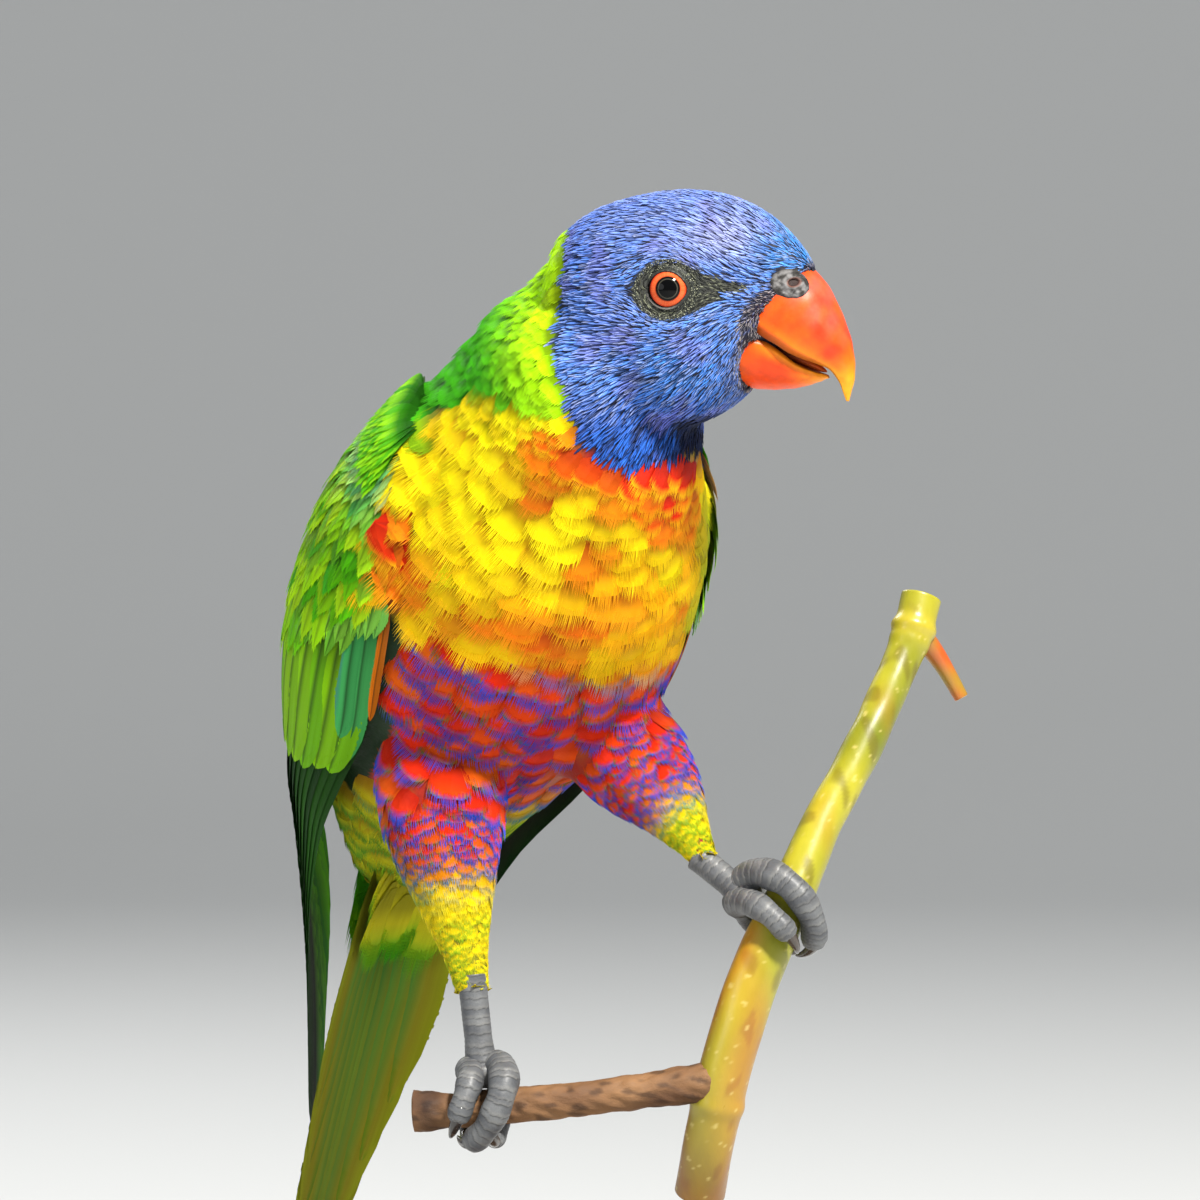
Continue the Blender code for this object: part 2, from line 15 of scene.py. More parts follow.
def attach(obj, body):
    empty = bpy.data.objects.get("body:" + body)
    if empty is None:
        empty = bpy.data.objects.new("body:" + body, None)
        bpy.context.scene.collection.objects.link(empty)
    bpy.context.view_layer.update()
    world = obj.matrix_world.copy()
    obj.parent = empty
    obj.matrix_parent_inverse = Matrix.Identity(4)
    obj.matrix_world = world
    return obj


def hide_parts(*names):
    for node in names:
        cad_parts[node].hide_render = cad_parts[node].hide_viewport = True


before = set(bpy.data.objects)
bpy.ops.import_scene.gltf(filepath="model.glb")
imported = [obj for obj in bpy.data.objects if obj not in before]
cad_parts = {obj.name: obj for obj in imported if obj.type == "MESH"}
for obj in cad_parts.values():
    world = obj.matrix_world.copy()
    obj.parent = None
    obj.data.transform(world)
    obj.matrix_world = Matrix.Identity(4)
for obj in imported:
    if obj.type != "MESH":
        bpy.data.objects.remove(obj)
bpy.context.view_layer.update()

LIFT, BACK = 163.0, -17.0

# ------------------------------------------------------------------ sizes, in mm
# trunk and neck: x, y, z, half width, dorsal depth, ventral depth, from the vent to inside the head
TRUNK = [
    (-5.0, 63.5, -52.5, 7.5, 5.0, 6.0),
    (-5.0, 59.3, -45.2, 13.0, 9.0, 10.5),
    (-4.8, 50.0, -31.0, 22.0, 16.0, 19.5),
    (-4.6, 40.0, -16.1, 29.5, 21.0, 28.0),
    (-4.4, 31.5, -4.5, 32.4, 23.5, 33.0),
    (-4.2, 23.1, 6.5, 32.6, 24.5, 33.0),
    (-4.3, 10.5, 18.0, 29.4, 23.6, 30.5),
    (-5.2, -2.9, 29.0, 21.8, 25.0, 21.5),
    (-5.0, -10.5, 39.0, 18.8, 24.0, 14.0),
    (0.5, -15.0, 49.0, 14.5, 22.5, 12.5),
]
# outer face of the folded wings: x, y, z, half width, dorsal depth, lower and upper angle round the body
WING = [
    (-4.4, 5.5, 22.5, 27.6, 24.4, 8.0, 34.0),
    (-4.4, 9.5, 19.4, 31.0, 26.4, -10.0, 55.0),
    (-4.4, 16.0, 13.0, 34.0, 28.6, -23.0, 71.0),
    (-4.4, 23.1, 6.5, 35.6, 29.2, -32.0, 78.0),
    (-4.4, 31.5, -4.5, 36.4, 28.8, -38.0, 82.0),
    (-4.6, 40.0, -16.1, 34.2, 26.5, -38.0, 84.0),
    (-4.8, 50.0, -31.0, 28.8, 20.5, -28.0, 85.0),
    (-5.0, 59.3, -45.2, 22.0, 15.0, -12.0, 85.0),
    (-5.0, 69.0, -63.5, 15.5, 10.8, 12.0, 84.0),
    (-5.0, 79.0, -82.5, 10.0, 8.0, 26.0, 82.0),
    (-5.0, 88.5, -100.5, 5.5, 6.0, 42.0, 78.0),
]
WING_THICK = [(v,) for v in (1.8, 4.5, 6.5, 7.0, 6.5, 5.5, 4.0, 2.6, 1.8, 1.3, 0.9)]

TAIL_ROOT = (-5.0, 56.0, -41.5)
TAIL_WAY = (0.0, 0.470, -0.883)
TAIL = [
    (0.0, 8.5, 3.4), (15.0, 10.5, 3.2), (35.0, 11.0, 2.6), (60.0, 9.6, 2.0),
    (85.0, 7.0, 1.5), (105.0, 4.4, 1.0), (118.0, 2.4, 0.7), (123.0, 0.9, 0.4),
]

HEAD_AT = (5.6, -19.3, 50.0)
YAW = math.radians(-40.0)
HEAD = [  # X, top, bottom, half width
    (-23.4, 4.0, -7.0, 5.0), (-20.8, 10.2, -13.0, 10.0), (-14.5, 14.6, -19.0, 14.2), (-7.0, 16.9, -22.0, 15.8),
    (0.0, 17.7, -22.5, 15.3), (6.0, 17.1, -20.8, 13.3), (10.2, 15.8, -18.0, 11.2), (13.5, 14.2, -14.0, 8.9),
    (16.8, 11.6, -8.8, 6.8), (19.8, 8.4, -4.2, 5.3), (21.8, 5.2, -0.8, 3.9), (22.9, 2.8, 0.4, 1.8),
]
EYE_AT = (-0.5, 11.6, 0.6)
EYE_R = 4.4
# upper mandible: ridge X, Z, cutting edge X, Z, half width
UPPER = [
    (18.6, 6.0, 11.0, -5.0, 6.2), (21.2, 4.4, 13.0, -6.5, 6.8), (24.0, 1.4, 16.0, -8.3, 6.9), (26.3, -3.0, 19.2, -10.3, 6.1),
    (27.9, -7.4, 22.2, -11.5, 4.8), (28.6, -11.4, 24.8, -12.7, 3.3), (28.5, -14.6, 26.3, -14.9, 1.9), (27.6, -18.0, 27.2, -17.9, 0.5),
]
# lower mandible: cutting edge X, Z, keel X, Z, half width
LOWER = [
    (8.4, -6.2, 7.0, -14.2, 5.6), (11.4, -7.2, 10.2, -15.6, 6.4), (15.2, -8.4, 14.2, -16.1, 5.9),
    (19.3, -11.6, 18.9, -15.8, 4.3), (22.1, -13.0, 22.3, -14.9, 2.7), (24.0, -13.6, 24.3, -14.1, 0.9),
]
STEM = [
    (61.5, -2.7, -2.2, 3.5), (58.4, -3.8, -9.9, 3.4), (52.8, -5.3, -19.1, 3.3), (47.5, -6.7, -27.4, 3.4),
    (38.9, -7.9, -39.9, 3.5), (31.5, -9.5, -52.4, 4.1), (25.6, -10.2, -62.4, 4.5), (21.6, -9.7, -72.5, 4.5),
    (19.2, -7.8, -83.6, 4.4), (18.4, -4.5, -94.6, 4.4), (18.7, -1.2, -102.7, 4.4),
]
BRANCH = [
    (19.2, -7.9, -83.1, 3.9), (9.1, -4.4, -84.3, 3.2), (-1.4, -0.4, -85.6, 3.0),
    (-12.4, 4.6, -86.7, 3.2), (-21.2, 9.5, -87.6, 3.0), (-27.9, 14.1, -88.0, 3.6),
]
NODE = 0.07
SHOOT = ((0, 0, 0), (3.0, 0.5, -2.6), (5.6, 0.6, -5.6), (7.6, 0.2, -8.8), (9.2, -0.6, -12.0))
LEGS = {
    "left": dict(hip=(8.0, 24.0, -20.0), knee=(16.0, 9.5, -34.0), ankle=(20.8, -0.7, -47.2), grip=0.525, palm=(-0.813, 0.451, 0.37),
                 radii=(8.0, 9.6, 10.4, 10.3, 9.4, 8.0, 6.5, 5.1, 4.0, 3.2)),
    "right": dict(hip=(-17.0, 27.0, -25.0), knee=(-19.0, 19.0, -45.0), ankle=(-18.2, 11.0, -69.0), grip=0.72, palm=(0.0, 0.25, 1.0),
                  radii=(9.0, 10.5, 11.0, 10.8, 10.0, 8.8, 7.2, 5.7, 4.5, 3.7)),
}
BASE_R, BASE_H, ROD_R = 58.0, 9.0, 2.5


# ------------------------------------------------------------------ helpers
def lin(*rgb):
    """A colour as seen, 0 to 255, in the linear values that shaders use."""
    c = np.asarray(rgb, float) / 255
    return np.where(c <= 0.04045, c / 12.92, ((c + 0.055) / 1.055) ** 2.4)


def at(table, t):
    """Rows of a table at each t in 0..1, by a Catmull-Rom curve through its rows."""
    rows = np.asarray(table, float)
    n = len(rows) - 1
    x = np.clip(np.asarray(t, float), 0, 1) * n
    i = np.minimum(x.astype(int), n - 1)
    f = (x - i)[..., None]
    ext = np.vstack([2 * rows[0] - rows[1], rows, 2 * rows[-1] - rows[-2]])
    p0, p1, p2, p3 = ext[i], ext[i + 1], ext[i + 2], ext[i + 3]
    return 0.5 * (2 * p1 + (p2 - p0) * f + (2 * p0 - 5 * p1 + 4 * p2 - p3) * f * f + (3 * p1 - p0 - 3 * p2 + p3) * f**3)


def unit(v):
    v = np.asarray(v, float)
    return v / np.maximum(np.linalg.norm(v, axis=-1, keepdims=True), 1e-9)


def dot(a, b):
    return (a * b).sum(-1, keepdims=True)


def smooth(x, a, b):
    """0 at a to 1 at b, with soft ends."""
    f = np.clip((np.asarray(x, float) - a) / (b - a), 0, 1)
    return f * f * (3 - 2 * f)


def bump_at(p, centre, radii):
    """A soft hill of height 1 round a place."""
    return np.exp(-(((np.asarray(p) - np.asarray(centre)) / np.asarray(radii)) ** 2).sum(-1))


def metres(p):
    return (np.asarray(p, float) + (0, BACK, LIFT)) * 0.001


CY, SY = math.cos(YAW), math.sin(YAW)


def from_head(p):
    p = np.asarray(p, float)
    return np.stack([HEAD_AT[0] + p[..., 0] * CY - p[..., 1] * SY, HEAD_AT[1] + p[..., 0] * SY + p[..., 1] * CY, HEAD_AT[2] + p[..., 2]], -1)


def to_head(p):
    d = np.asarray(p, float) - HEAD_AT
    return np.stack([d[..., 0] * CY + d[..., 1] * SY, -d[..., 0] * SY + d[..., 1] * CY, d[..., 2]], -1)


def head_way(v):
    v = np.asarray(v, float)
    return np.stack([v[..., 0] * CY - v[..., 1] * SY, v[..., 0] * SY + v[..., 1] * CY, v[..., 2]], -1)


def hash3(p, k=0):
    """A repeatable number in 0..1 for each place."""
    q = np.sin(np.asarray(p) @ np.array([12.9898, 78.233, 37.719]) + k * 4.137) * 43758.5453
    return q - np.floor(q)


def soft_noise(p, size, seed=0):
    """Smooth noise in about -1..1 with features of a size, from sums of waves."""
    rng = np.random.default_rng(900 + seed)
    total = 0.0
    for i in range(9):
        way = unit(rng.normal(size=3)) * (2 * math.pi / size) * rng.uniform(0.45, 1.1)
        total = total + np.sin(np.asarray(p) @ way + rng.uniform(0, 6.28))
    return total / 3.2


def new_mesh(name, verts, faces, smooth_shade=True):
    """A mesh from an array of places in mm and a list of face arrays, each with faces of one length."""
    me = bpy.data.meshes.new(name)
    v = metres(verts).astype(np.float32)
    me.vertices.add(len(v))
    me.vertices.foreach_set("co", v.ravel())
    loops = np.concatenate([np.asarray(f, np.int32).ravel() for f in faces])
    sizes = np.concatenate([np.full(len(f), np.asarray(f).shape[1], np.int32) for f in faces])
    starts = np.concatenate([[0], np.cumsum(sizes)[:-1]]).astype(np.int32)
    me.loops.add(len(loops))
    me.loops.foreach_set("vertex_index", loops)
    me.polygons.add(len(sizes))
    me.polygons.foreach_set("loop_start", starts)
    me.update(calc_edges=True)
    me.polygons.foreach_set("use_smooth", np.full(len(sizes), smooth_shade))
    me.update()
    return me


def show(name, mesh, mat=None, replaces=()):
    o = bpy.data.objects.new(name, mesh)
    bpy.context.scene.collection.objects.link(o)
    if mat:
        mesh.materials.clear()
        mesh.materials.append(mat)
    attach(o, "root")
    if replaces:
        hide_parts(*replaces)
    return o


def grid_faces(rows, cols, closed=True, first=0):
    i, j = np.meshgrid(np.arange(rows - 1), np.arange(cols if closed else cols - 1), indexing="ij")
    i, j = i.ravel(), j.ravel()
    k = (j + 1) % cols
    return first + np.stack([i * cols + j, i * cols + k, (i + 1) * cols + k, (i + 1) * cols + j], 1)


def lofted(rings, caps=True):
    """Verts and faces of a closed skin through rings of equal length, with a point in the middle of each end."""
    rings = np.asarray(rings, float)
    r, c = rings.shape[:2]
    verts = rings.reshape(-1, 3)
    faces = [grid_faces(r, c)]
    if caps:
        verts = np.vstack([verts, rings[0].mean(0), rings[-1].mean(0)])
        j = np.arange(c)
        faces.append(np.stack([(j + 1) % c, j, np.full(c, r * c)], 1))
        faces.append(np.stack([(r - 1) * c + j, (r - 1) * c + (j + 1) % c, np.full(c, r * c + 1)], 1))
    middle = rings.mean((0, 1))
    a, b, d = (verts[faces[0][:, i]] for i in (0, 1, 3))
    rows_mid = np.repeat(rings.mean(1)[:-1], c, 0)
    if (np.cross(b - a, d - a) * (a - rows_mid)).sum() < 0:
        faces = [f[:, ::-1] for f in faces]
    return verts, faces


def ring_frames(path, up=(0, 0, 1)):
    """Side and top directions along a path, turned as little as possible from one point to the next."""
    p = np.asarray(path, float)
    way = unit(np.gradient(p, axis=0))
    side = np.zeros_like(p)
    s = np.cross(way[0], up)
    for i, w in enumerate(way):
        s = unit(s - w * (s @ w))
        side[i] = s
    return way, side, np.cross(side, way)


def tube(path, radii, sides, up=(0, 0, 1), flat=1.0):
    way, side, top = ring_frames(path, up)
    a = np.linspace(0, 2 * math.pi, sides, endpoint=False)
    r = np.asarray(radii, float)
    r = r[:, None] if r.ndim == 1 else r
    return np.asarray(path)[:, None] + side[:, None] * (np.cos(a)[None, :, None] * r[..., None]) + top[:, None] * (np.sin(a)[None, :, None] * r[..., None] * flat)


def egg(centre, side, top, w, up, down, n, power=2.0):
    """Rings of egg-shaped sections, one per row."""
    a = np.linspace(0, 2 * math.pi, n, endpoint=False)
    c, s = (np.sign(v) * np.abs(v) ** (2 / power) for v in (np.cos(a), np.sin(a)))
    d = np.where(s[None] > 0, np.asarray(up)[:, None], np.asarray(down)[:, None])
    return np.asarray(centre)[:, None] + np.asarray(side) * (c[None, :, None] * np.asarray(w)[:, None, None]) + np.asarray(top)[:, None] * (s[None, :, None] * d[..., None])


def body_frame(table, t):
    """Centre, direction towards the head and dorsal direction at each t along a table that starts with x, y, z."""
    t = np.asarray(t, float)
    d = at(table, np.minimum(t + 0.01, 1))[..., :3] - at(table, np.maximum(t - 0.01, 0))[..., :3]
    way = unit(np.stack([np.zeros_like(d[..., 0]), d[..., 1], d[..., 2]], -1))
    dorsal = np.stack([np.zeros_like(d[..., 0]), -way[..., 2], way[..., 1]], -1)
    dorsal = dorsal * np.where(dorsal[..., 2:] > 0, 1, -1)
    return at(table, t)[..., :3], way, dorsal


# ------------------------------------------------------------------ the bird's form, out to the tips of its feathers
def trunk_form():
    t = np.linspace(0, 1, 61)
    centre, way, dorsal = body_frame(TRUNK, t)
    r = at(TRUNK, t)
    return lofted(egg(centre, (1, 0, 0), dorsal, r[:, 3], r[:, 4], r[:, 5], 56, 2.15))


def head_form():
    r = at(HEAD, np.linspace(0, 1, 49))
    mid = r[:, 1] - 0.47 * (r[:, 1] - r[:, 2])
    centre = np.stack([r[:, 0], np.zeros(len(r)), mid], 1)
    rings = egg(centre, (0, 1, 0), np.tile([0, 0, 1.0], (len(r), 1)), r[:, 3], r[:, 1] - mid, mid - r[:, 2], 56, 2.2)
    return lofted(from_head(rings))


def wing_place(side, t, f, lift=0.0):
    """A place on the folded wing's outer face: t from its bend to its tip, f from its lower to its upper edge."""
    t, f = np.broadcast_arrays(np.asarray(t, float), np.asarray(f, float))
    centre, way, dorsal = body_frame(WING, t)
    r = at(WING, t)
    a = np.radians(r[..., 5] + (r[..., 6] - r[..., 5]) * f)
    c, s = np.cos(a), np.sin(a)
    depth = np.where(s > 0, r[..., 4], r[..., 4] * 1.1)
    x = np.array([1.0, 0, 0])
    p = centre + x * (c * r[..., 3] * side)[..., None] + dorsal * (s * depth)[..., None]
    n = unit(x * (c / r[..., 3] * side)[..., None] + dorsal * (s / depth)[..., None])
    return p + n * np.asarray(lift)[..., None], n


def wing_form(side, end=0.57):
    """The fleshy and close-feathered part of a wing, thinned towards its end."""
    t = np.linspace(0.0, end, 40)
    f = np.linspace(0.03, 1, 26)
    T, F = np.meshgrid(t, f, indexing="ij")
    p, n = wing_place(side, T, F)
    edge = np.maximum(0, 1 - (2 * F - 1) ** 4)
    thick = at(WING_THICK, T)[..., 0] * (0.22 + 0.78 * edge)
    q = p - n * np.maximum(thick, 4.6)[..., None]
    p = p - n * (0.9 * smooth(T, 0.3, end))[..., None]
    return lofted(np.concatenate([p, q[:, ::-1]], 1))


def thigh_form(leg):
    path = at([leg["hip"], leg["knee"], leg["ankle"]], np.linspace(0, 1, 22))
    r = at([(v,) for v in leg["radii"]], np.linspace(0, 1, 22))[:, 0]
    return lofted(tube(path, r, 28, (1, 0, 0), 1.1))


def joined(forms, voxel, rounds):
    """One closed skin round several closed forms."""
    verts, faces, k = [], [], 0
    for v, fs in forms:
        verts.append(v)
        for f in fs:
            faces += (f + k).tolist()
        k += len(v)
    me = bpy.data.meshes.new("form")
    me.from_pydata((metres(np.vstack(verts))).tolist(), [], faces)
    o = bpy.data.objects.new("form", me)
    bpy.context.scene.collection.objects.link(o)
    m = o.modifiers.new("one", "REMESH")
    m.mode, m.voxel_size = "VOXEL", voxel * 0.001
    m = o.modifiers.new("soften", "SMOOTH")
    m.factor, m.iterations = 0.5, rounds
    bpy.context.view_layer.update()
    out = bpy.data.meshes.new_from_object(o.evaluated_get(bpy.context.evaluated_depsgraph_get()))
    bpy.data.objects.remove(o)
    return out


form = joined([trunk_form(), head_form(), wing_form(1), wing_form(-1), thigh_form(LEGS["left"]), thigh_form(LEGS["right"])], 0.9, 8)


def arrays(me):
    v = np.empty(len(me.vertices) * 3, np.float32)
    me.vertices.foreach_get("co", v)
    n = np.empty(len(me.vertices) * 3, np.float32)
    me.vertices.foreach_get("normal", n)
    v = v.reshape(-1, 3).astype(float) * 1000 - (0, BACK, LIFT)
    return v, unit(n.reshape(-1, 3))


EYES = {s: from_head(np.array([EYE_AT[0], EYE_AT[1] * s, EYE_AT[2]])) for s in (1, -1)}


# ------------------------------------------------------------------ where each sort of feather grows
def spine_of(p):
    """Place along the body (0 vent, 1 head) and angle round it: 0 is straight out to the side, 90 the middle of the back."""
    ts = np.linspace(0, 1, 161)
    centre, way, dorsal = body_frame(TRUNK, ts)
    p = np.asarray(p, float)
    t, ang = np.empty(len(p)), np.empty(len(p))
    for a in range(0, len(p), 20000):
        q = p[a:a + 20000]
        d2 = (q[:, None, 1] - centre[None, :, 1]) ** 2 + (q[:, None, 2] - centre[None, :, 2]) ** 2
        k = d2.argmin(1)
        off = q - centre[k]
        t[a:a + 20000] = ts[k]
        ang[a:a + 20000] = np.degrees(np.arctan2((off * dorsal[k]).sum(1), np.abs(off[:, 0])))
    return t, ang


def hood_depth(h):
    """How far inside the blue hood a place in the head's frame lies, in mm: below 0 it is outside."""
    rear = h[..., 0] + 20.4 - 0.05 * np.abs(h[..., 2] + 8) - 0.22 * np.maximum(0, -9 - h[..., 2])
    low = h[..., 2] + 23.2 + 6.4 * np.exp(-(((h[..., 0] + 6.5) / 9.0) ** 2))
    return np.minimum(rear, low)


def mantle_edge(p, t, ang):
    """How far inside the green of the nape, shoulders and back a place lies, in mm."""
    line = 27.5 + 4.0 * np.exp(-(((p[..., 1] + 1.0) / 8.0) ** 2)) - 0.9 * np.maximum(p[..., 1] - 8, 0)
    return np.maximum(p[..., 2] - line, (ang - 34) * 0.5 * smooth(t, 1.0, 0.75))


def coat_depth(p, h, t):
    """How far the skin lies inside the feathers' outline."""
    d = 1.35 - 0.65 * smooth(hood_depth(h), -12, -1)
    d = d - 0.25 * smooth(h[..., 0], 8, 16) * (h[..., 2] > -16)
    for s in (1, -1):
        e = np.linalg.norm(h - np.array([EYE_AT[0] + 0.6, 15.0 * s, EYE_AT[2]]), axis=-1)
        d = d * (1 - 0.5 * np.exp(-((e / 6.0) ** 2)))
    return d


verts, normals = arrays(form)
H = to_head(verts)
body_t, body_a = spine_of(verts)
verts = verts - normals * coat_depth(verts, H, body_t)[:, None]

def bill_part(table, upper, rows=96, over=37, under=19):
    rows_t = np.linspace(0, 1, rows)
    r = at(table, rows_t)
    ridge = r[:, 0:2] if upper else r[:, 2:4]
    edge = r[:, 2:4] if upper else r[:, 0:2]
    w = np.maximum(r[:, 4], 0.25) * (1 if upper else 1 + 0.08 * smooth(rows_t, 0.6, 0.0))
    a = np.linspace(0, math.pi, over)
    rings, marks = [], []
    y = np.cos(a)[None] * w[:, None] * (1 + 0.10 * np.sin(2 * a)[None] ** 2)
    f = 1 - np.sin(a)[None] ** 0.85
    f = np.broadcast_to(f, y.shape)
    side = ridge[:, None] + (edge - ridge)[:, None] * f[..., None]
    top = np.stack([side[..., 0], y, side[..., 1]], -1)
    y2 = np.linspace(-1, 1, under + 2)[None, 1:-1] * w[:, None]
    hollow = 0.30 * (1 - (y2 / w[:, None]) ** 2)
    low = ridge[:, None] + (edge - ridge)[:, None] * (1 - hollow)[..., None]
    bottom = np.stack([low[..., 0], y2, low[..., 1]], -1)
    rings = np.concatenate([top, bottom], 1)
    share = np.concatenate([f, np.full_like(y2, 1.0)], 1)
    # growth lines and a soft swelling by the cere
    t = rows_t[:, None]
    grow = 0.035 * np.sin(t * 46 + 3 * share) * smooth(t, 0.05, 0.3) + 0.22 * np.exp(-((t / 0.05) ** 2)) * (1 if upper else 0.3)
    mid = rings.mean(1, keepdims=True)
    rings = rings + unit(rings - mid) * grow[..., None]
    return rings, share, rows_t


def bill_gap(h):
    """How far behind the bill's rear edge a place lies, in mm."""
    edge = np.interp(h[..., 2], [-16, -14.5, -13, -10.8, -8.3, -7.6, -6, -4, -2.4, -1.2, 0, 2.6, 4.2, 6.0, 8.5, 14], [11.4, 10.6, 10.4, 10.8, 11.9, 13.2, 13.4, 13.9, 14.8, 16.0, 17.2, 19.0, 22.2, 22.0, 21.0, 18.0])
    return edge - h[..., 0]


BILLS = []
for table, upper in ((UPPER, True), (LOWER, False)):
    bv, bf = lofted(bill_part(table, upper)[0])
    BILLS.append(BVHTree.FromPolygons(bv.tolist(), [f for g in bf for f in g.tolist()]))


def inside_horn(h):
    """Places on the skin, drawn in under the horn where the bill covers them."""
    h = h.copy()
    for i in np.flatnonzero((bill_gap(h) < 1.3) & (np.abs(h[:, 1]) > 0.4) & (h[:, 2] < 7) & (h[:, 2] > -17)):
        x, y, z = h[i].tolist()
        s = 1 if y > 0 else -1
        found = [hit[0][1] * s for tree in BILLS if (hit := tree.ray_cast((x, 20.0 * s, z), (0, -s, 0)))[0]]
        if found and abs(y) > max(found) - 0.4:
            w = float(smooth(bill_gap(h[i]), 1.2, 0.1))
            h[i, 1] = s * (abs(y) * (1 - w) + max(max(found) - 0.4, 0.3) * w)
    return h


verts = from_head(inside_horn(to_head(verts)))
H = to_head(verts)

# sockets: the skin dips round each eye and rises to the lids
for s in (1, -1):
    c = np.array([EYE_AT[0], 0, EYE_AT[2]])
    r = np.hypot(H[:, 0] - c[0], H[:, 2] - c[2])
    near = (H[:, 1] * s > 8) * np.exp(-((r / 5.2) ** 4))
    verts = verts - head_way(np.array([0, s, 0.0])) * (near * 0.9)[:, None]
form.vertices.foreach_set("co", metres(verts).astype(np.float32).ravel())
form.update()
verts, normals = arrays(form)
TREE = BVHTree.FromPolygons([tuple(v) for v in verts], [tuple(p.vertices) for p in form.polygons])
face_v = np.array([tuple(p.vertices) if len(p.vertices) == 4 else tuple(p.vertices) + (p.vertices[2],) for p in form.polygons])
print("skin", len(verts), "points")

# ------------------------------------------------------------------ which way the feathers lie
def head_flow(h):
    """Direction in the head's frame: back over the crown, fanning back and down from the bill over cheek and throat, and parting round the eye."""
    rx, rz = h[:, 0] - 13.5, h[:, 2] + 3.5
    ang = np.arctan2(rz, -rx)
    ang = np.where(rx > 2, np.where(rz < 0, np.minimum(ang, -1.3), 0.3), ang)
    ang = np.where(ang < 0, ang, 0.10 * ang)
    d = np.stack([-np.cos(ang), np.sin(ang)], 1)
    ex, ez = h[:, 0] - EYE_AT[0], h[:, 2] - EYE_AT[2]
    r = np.maximum(np.hypot(ex, ez), 3.0)
    e = np.stack([ex, ez], 1) / r[:, None]
    k = (4.6 / r[:, None]) ** 2
    side = smooth(np.abs(h[:, 1]), 6, 10)[:, None]
    d = d + side * (d * k - 2 * k * (d * e).sum(1, keepdims=True) * e)
    d = unit(d)
    return np.stack([d[:, 0], np.zeros(len(d)), d[:, 1]], 1)


LEG_LINE = {}
for side, leg in LEGS.items():
    LEG_LINE[side] = (at([leg["hip"], leg["knee"], leg["ankle"]], np.linspace(0, 1, 40)), at([(v,) for v in leg["radii"]], np.linspace(0, 1, 40))[:, 0])


def leg_share(p, n=None):
    """How much a place belongs to a thigh, the thigh's direction there, and how far down it the place is."""
    share, way, down = np.zeros(len(p)), np.zeros((len(p), 3)), np.zeros(len(p))
    for line, radii in LEG_LINE.values():
        d = np.linalg.norm(p[:, None] - line[None], axis=2) if len(p) < 30000 else np.stack([np.linalg.norm(p - q, axis=1) for q in line], 1)
        k = (d / radii[None]).argmin(1)
        near = smooth(d[np.arange(len(p)), k] / radii[k], 1.25, 1.05) * smooth(k, 8, 16)
        w = unit(np.gradient(line, axis=0))
        take = near > share
        share = np.where(take, near, share)
        way[take] = w[k[take]]
        down = np.where(take, k / 39.0, down)
    return share, way, down


def flow(p, n):
    h = to_head(p)
    t, ang = spine_of(p)
    _, way, _ = body_frame(TRUNK, t)
    body = -way + 0.10 * np.stack([np.sign(p[:, 0] + 5) * smooth(np.abs(p[:, 0] + 5), 2, 14), np.zeros(len(p)), np.zeros(len(p))], 1) * (ang < 20)[:, None]
    w = smooth(hood_depth(h), -7.0, 1.5)[:, None] * smooth(h[:, 0], -25, -16)[:, None]
    d = head_way(head_flow(h)) * w + body * (1 - w)
    share, leg_way, _ = leg_share(p)
    d = d * (1 - share[:, None]) + leg_way * share[:, None]
    d = d - n * dot(d, n)
    return unit(d)


def lap(t):
    """How far the breast laps over the wing's lower edge, in degrees round the body."""
    return np.interp(t, [0.0, 0.06, 0.12, 0.20, 0.28, 0.31, 0.35, 0.42, 0.8], [9.0, 9.0, 9.0, 10.0, 11.0, 3.0, -2.0, -4.0, -6.0])


def on_wing(p, margin=0.0, depth_share=0.90, front=True):
    """Whether a place on the skin is the outer face of a wing."""
    ts = np.linspace(0, 1, 161)
    centre, way, dorsal = body_frame(WING, ts)
    rows = at(WING, ts)
    out = np.zeros(len(p), bool)
    for a in range(0, len(p), 20000):
        q = p[a:a + 20000]
        k = ((q[:, None, 1] - centre[None, :, 1]) ** 2 + (q[:, None, 2] - centre[None, :, 2]) ** 2).argmin(1)
        off = q - centre[k]
        d = (off * dorsal[k]).sum(1)
        x = np.abs(off[:, 0])
        depth = np.where(d > 0, rows[k, 4], rows[k, 4] * 1.1)
        r = np.hypot(x / rows[k, 3], d / depth)
        ang = np.degrees(np.arctan2(d / depth, x / rows[k, 3]))
        low = rows[k, 5] + margin + (lap(ts[k]) if front else 0) * np.where(off[:, 0] < 0, 1.0, 0.3)
        share = np.where(ts[k] > 0.40, min(depth_share, 0.72), depth_share)
        from_t = np.where(ang > 14, 0.12, 0.035) if front else 0.035
        out[a:a + 20000] = (r > share) & (ang > low) & (ang < rows[k, 6] + 2) & (ts[k] > from_t) & (ts[k] < 0.78)
    return out


def settle(points):
    """The nearest places on the skin, and its smoothed normals there."""
    found = [TREE.find_nearest(p) for p in points.tolist()]
    q = np.array([f[0] for f in found])
    idx = face_v[[f[2] for f in found]]
    w = 1 / (np.linalg.norm(verts[idx] - q[:, None], axis=2) + 0.05)
    return q, unit((normals[idx] * w[..., None]).sum(1))


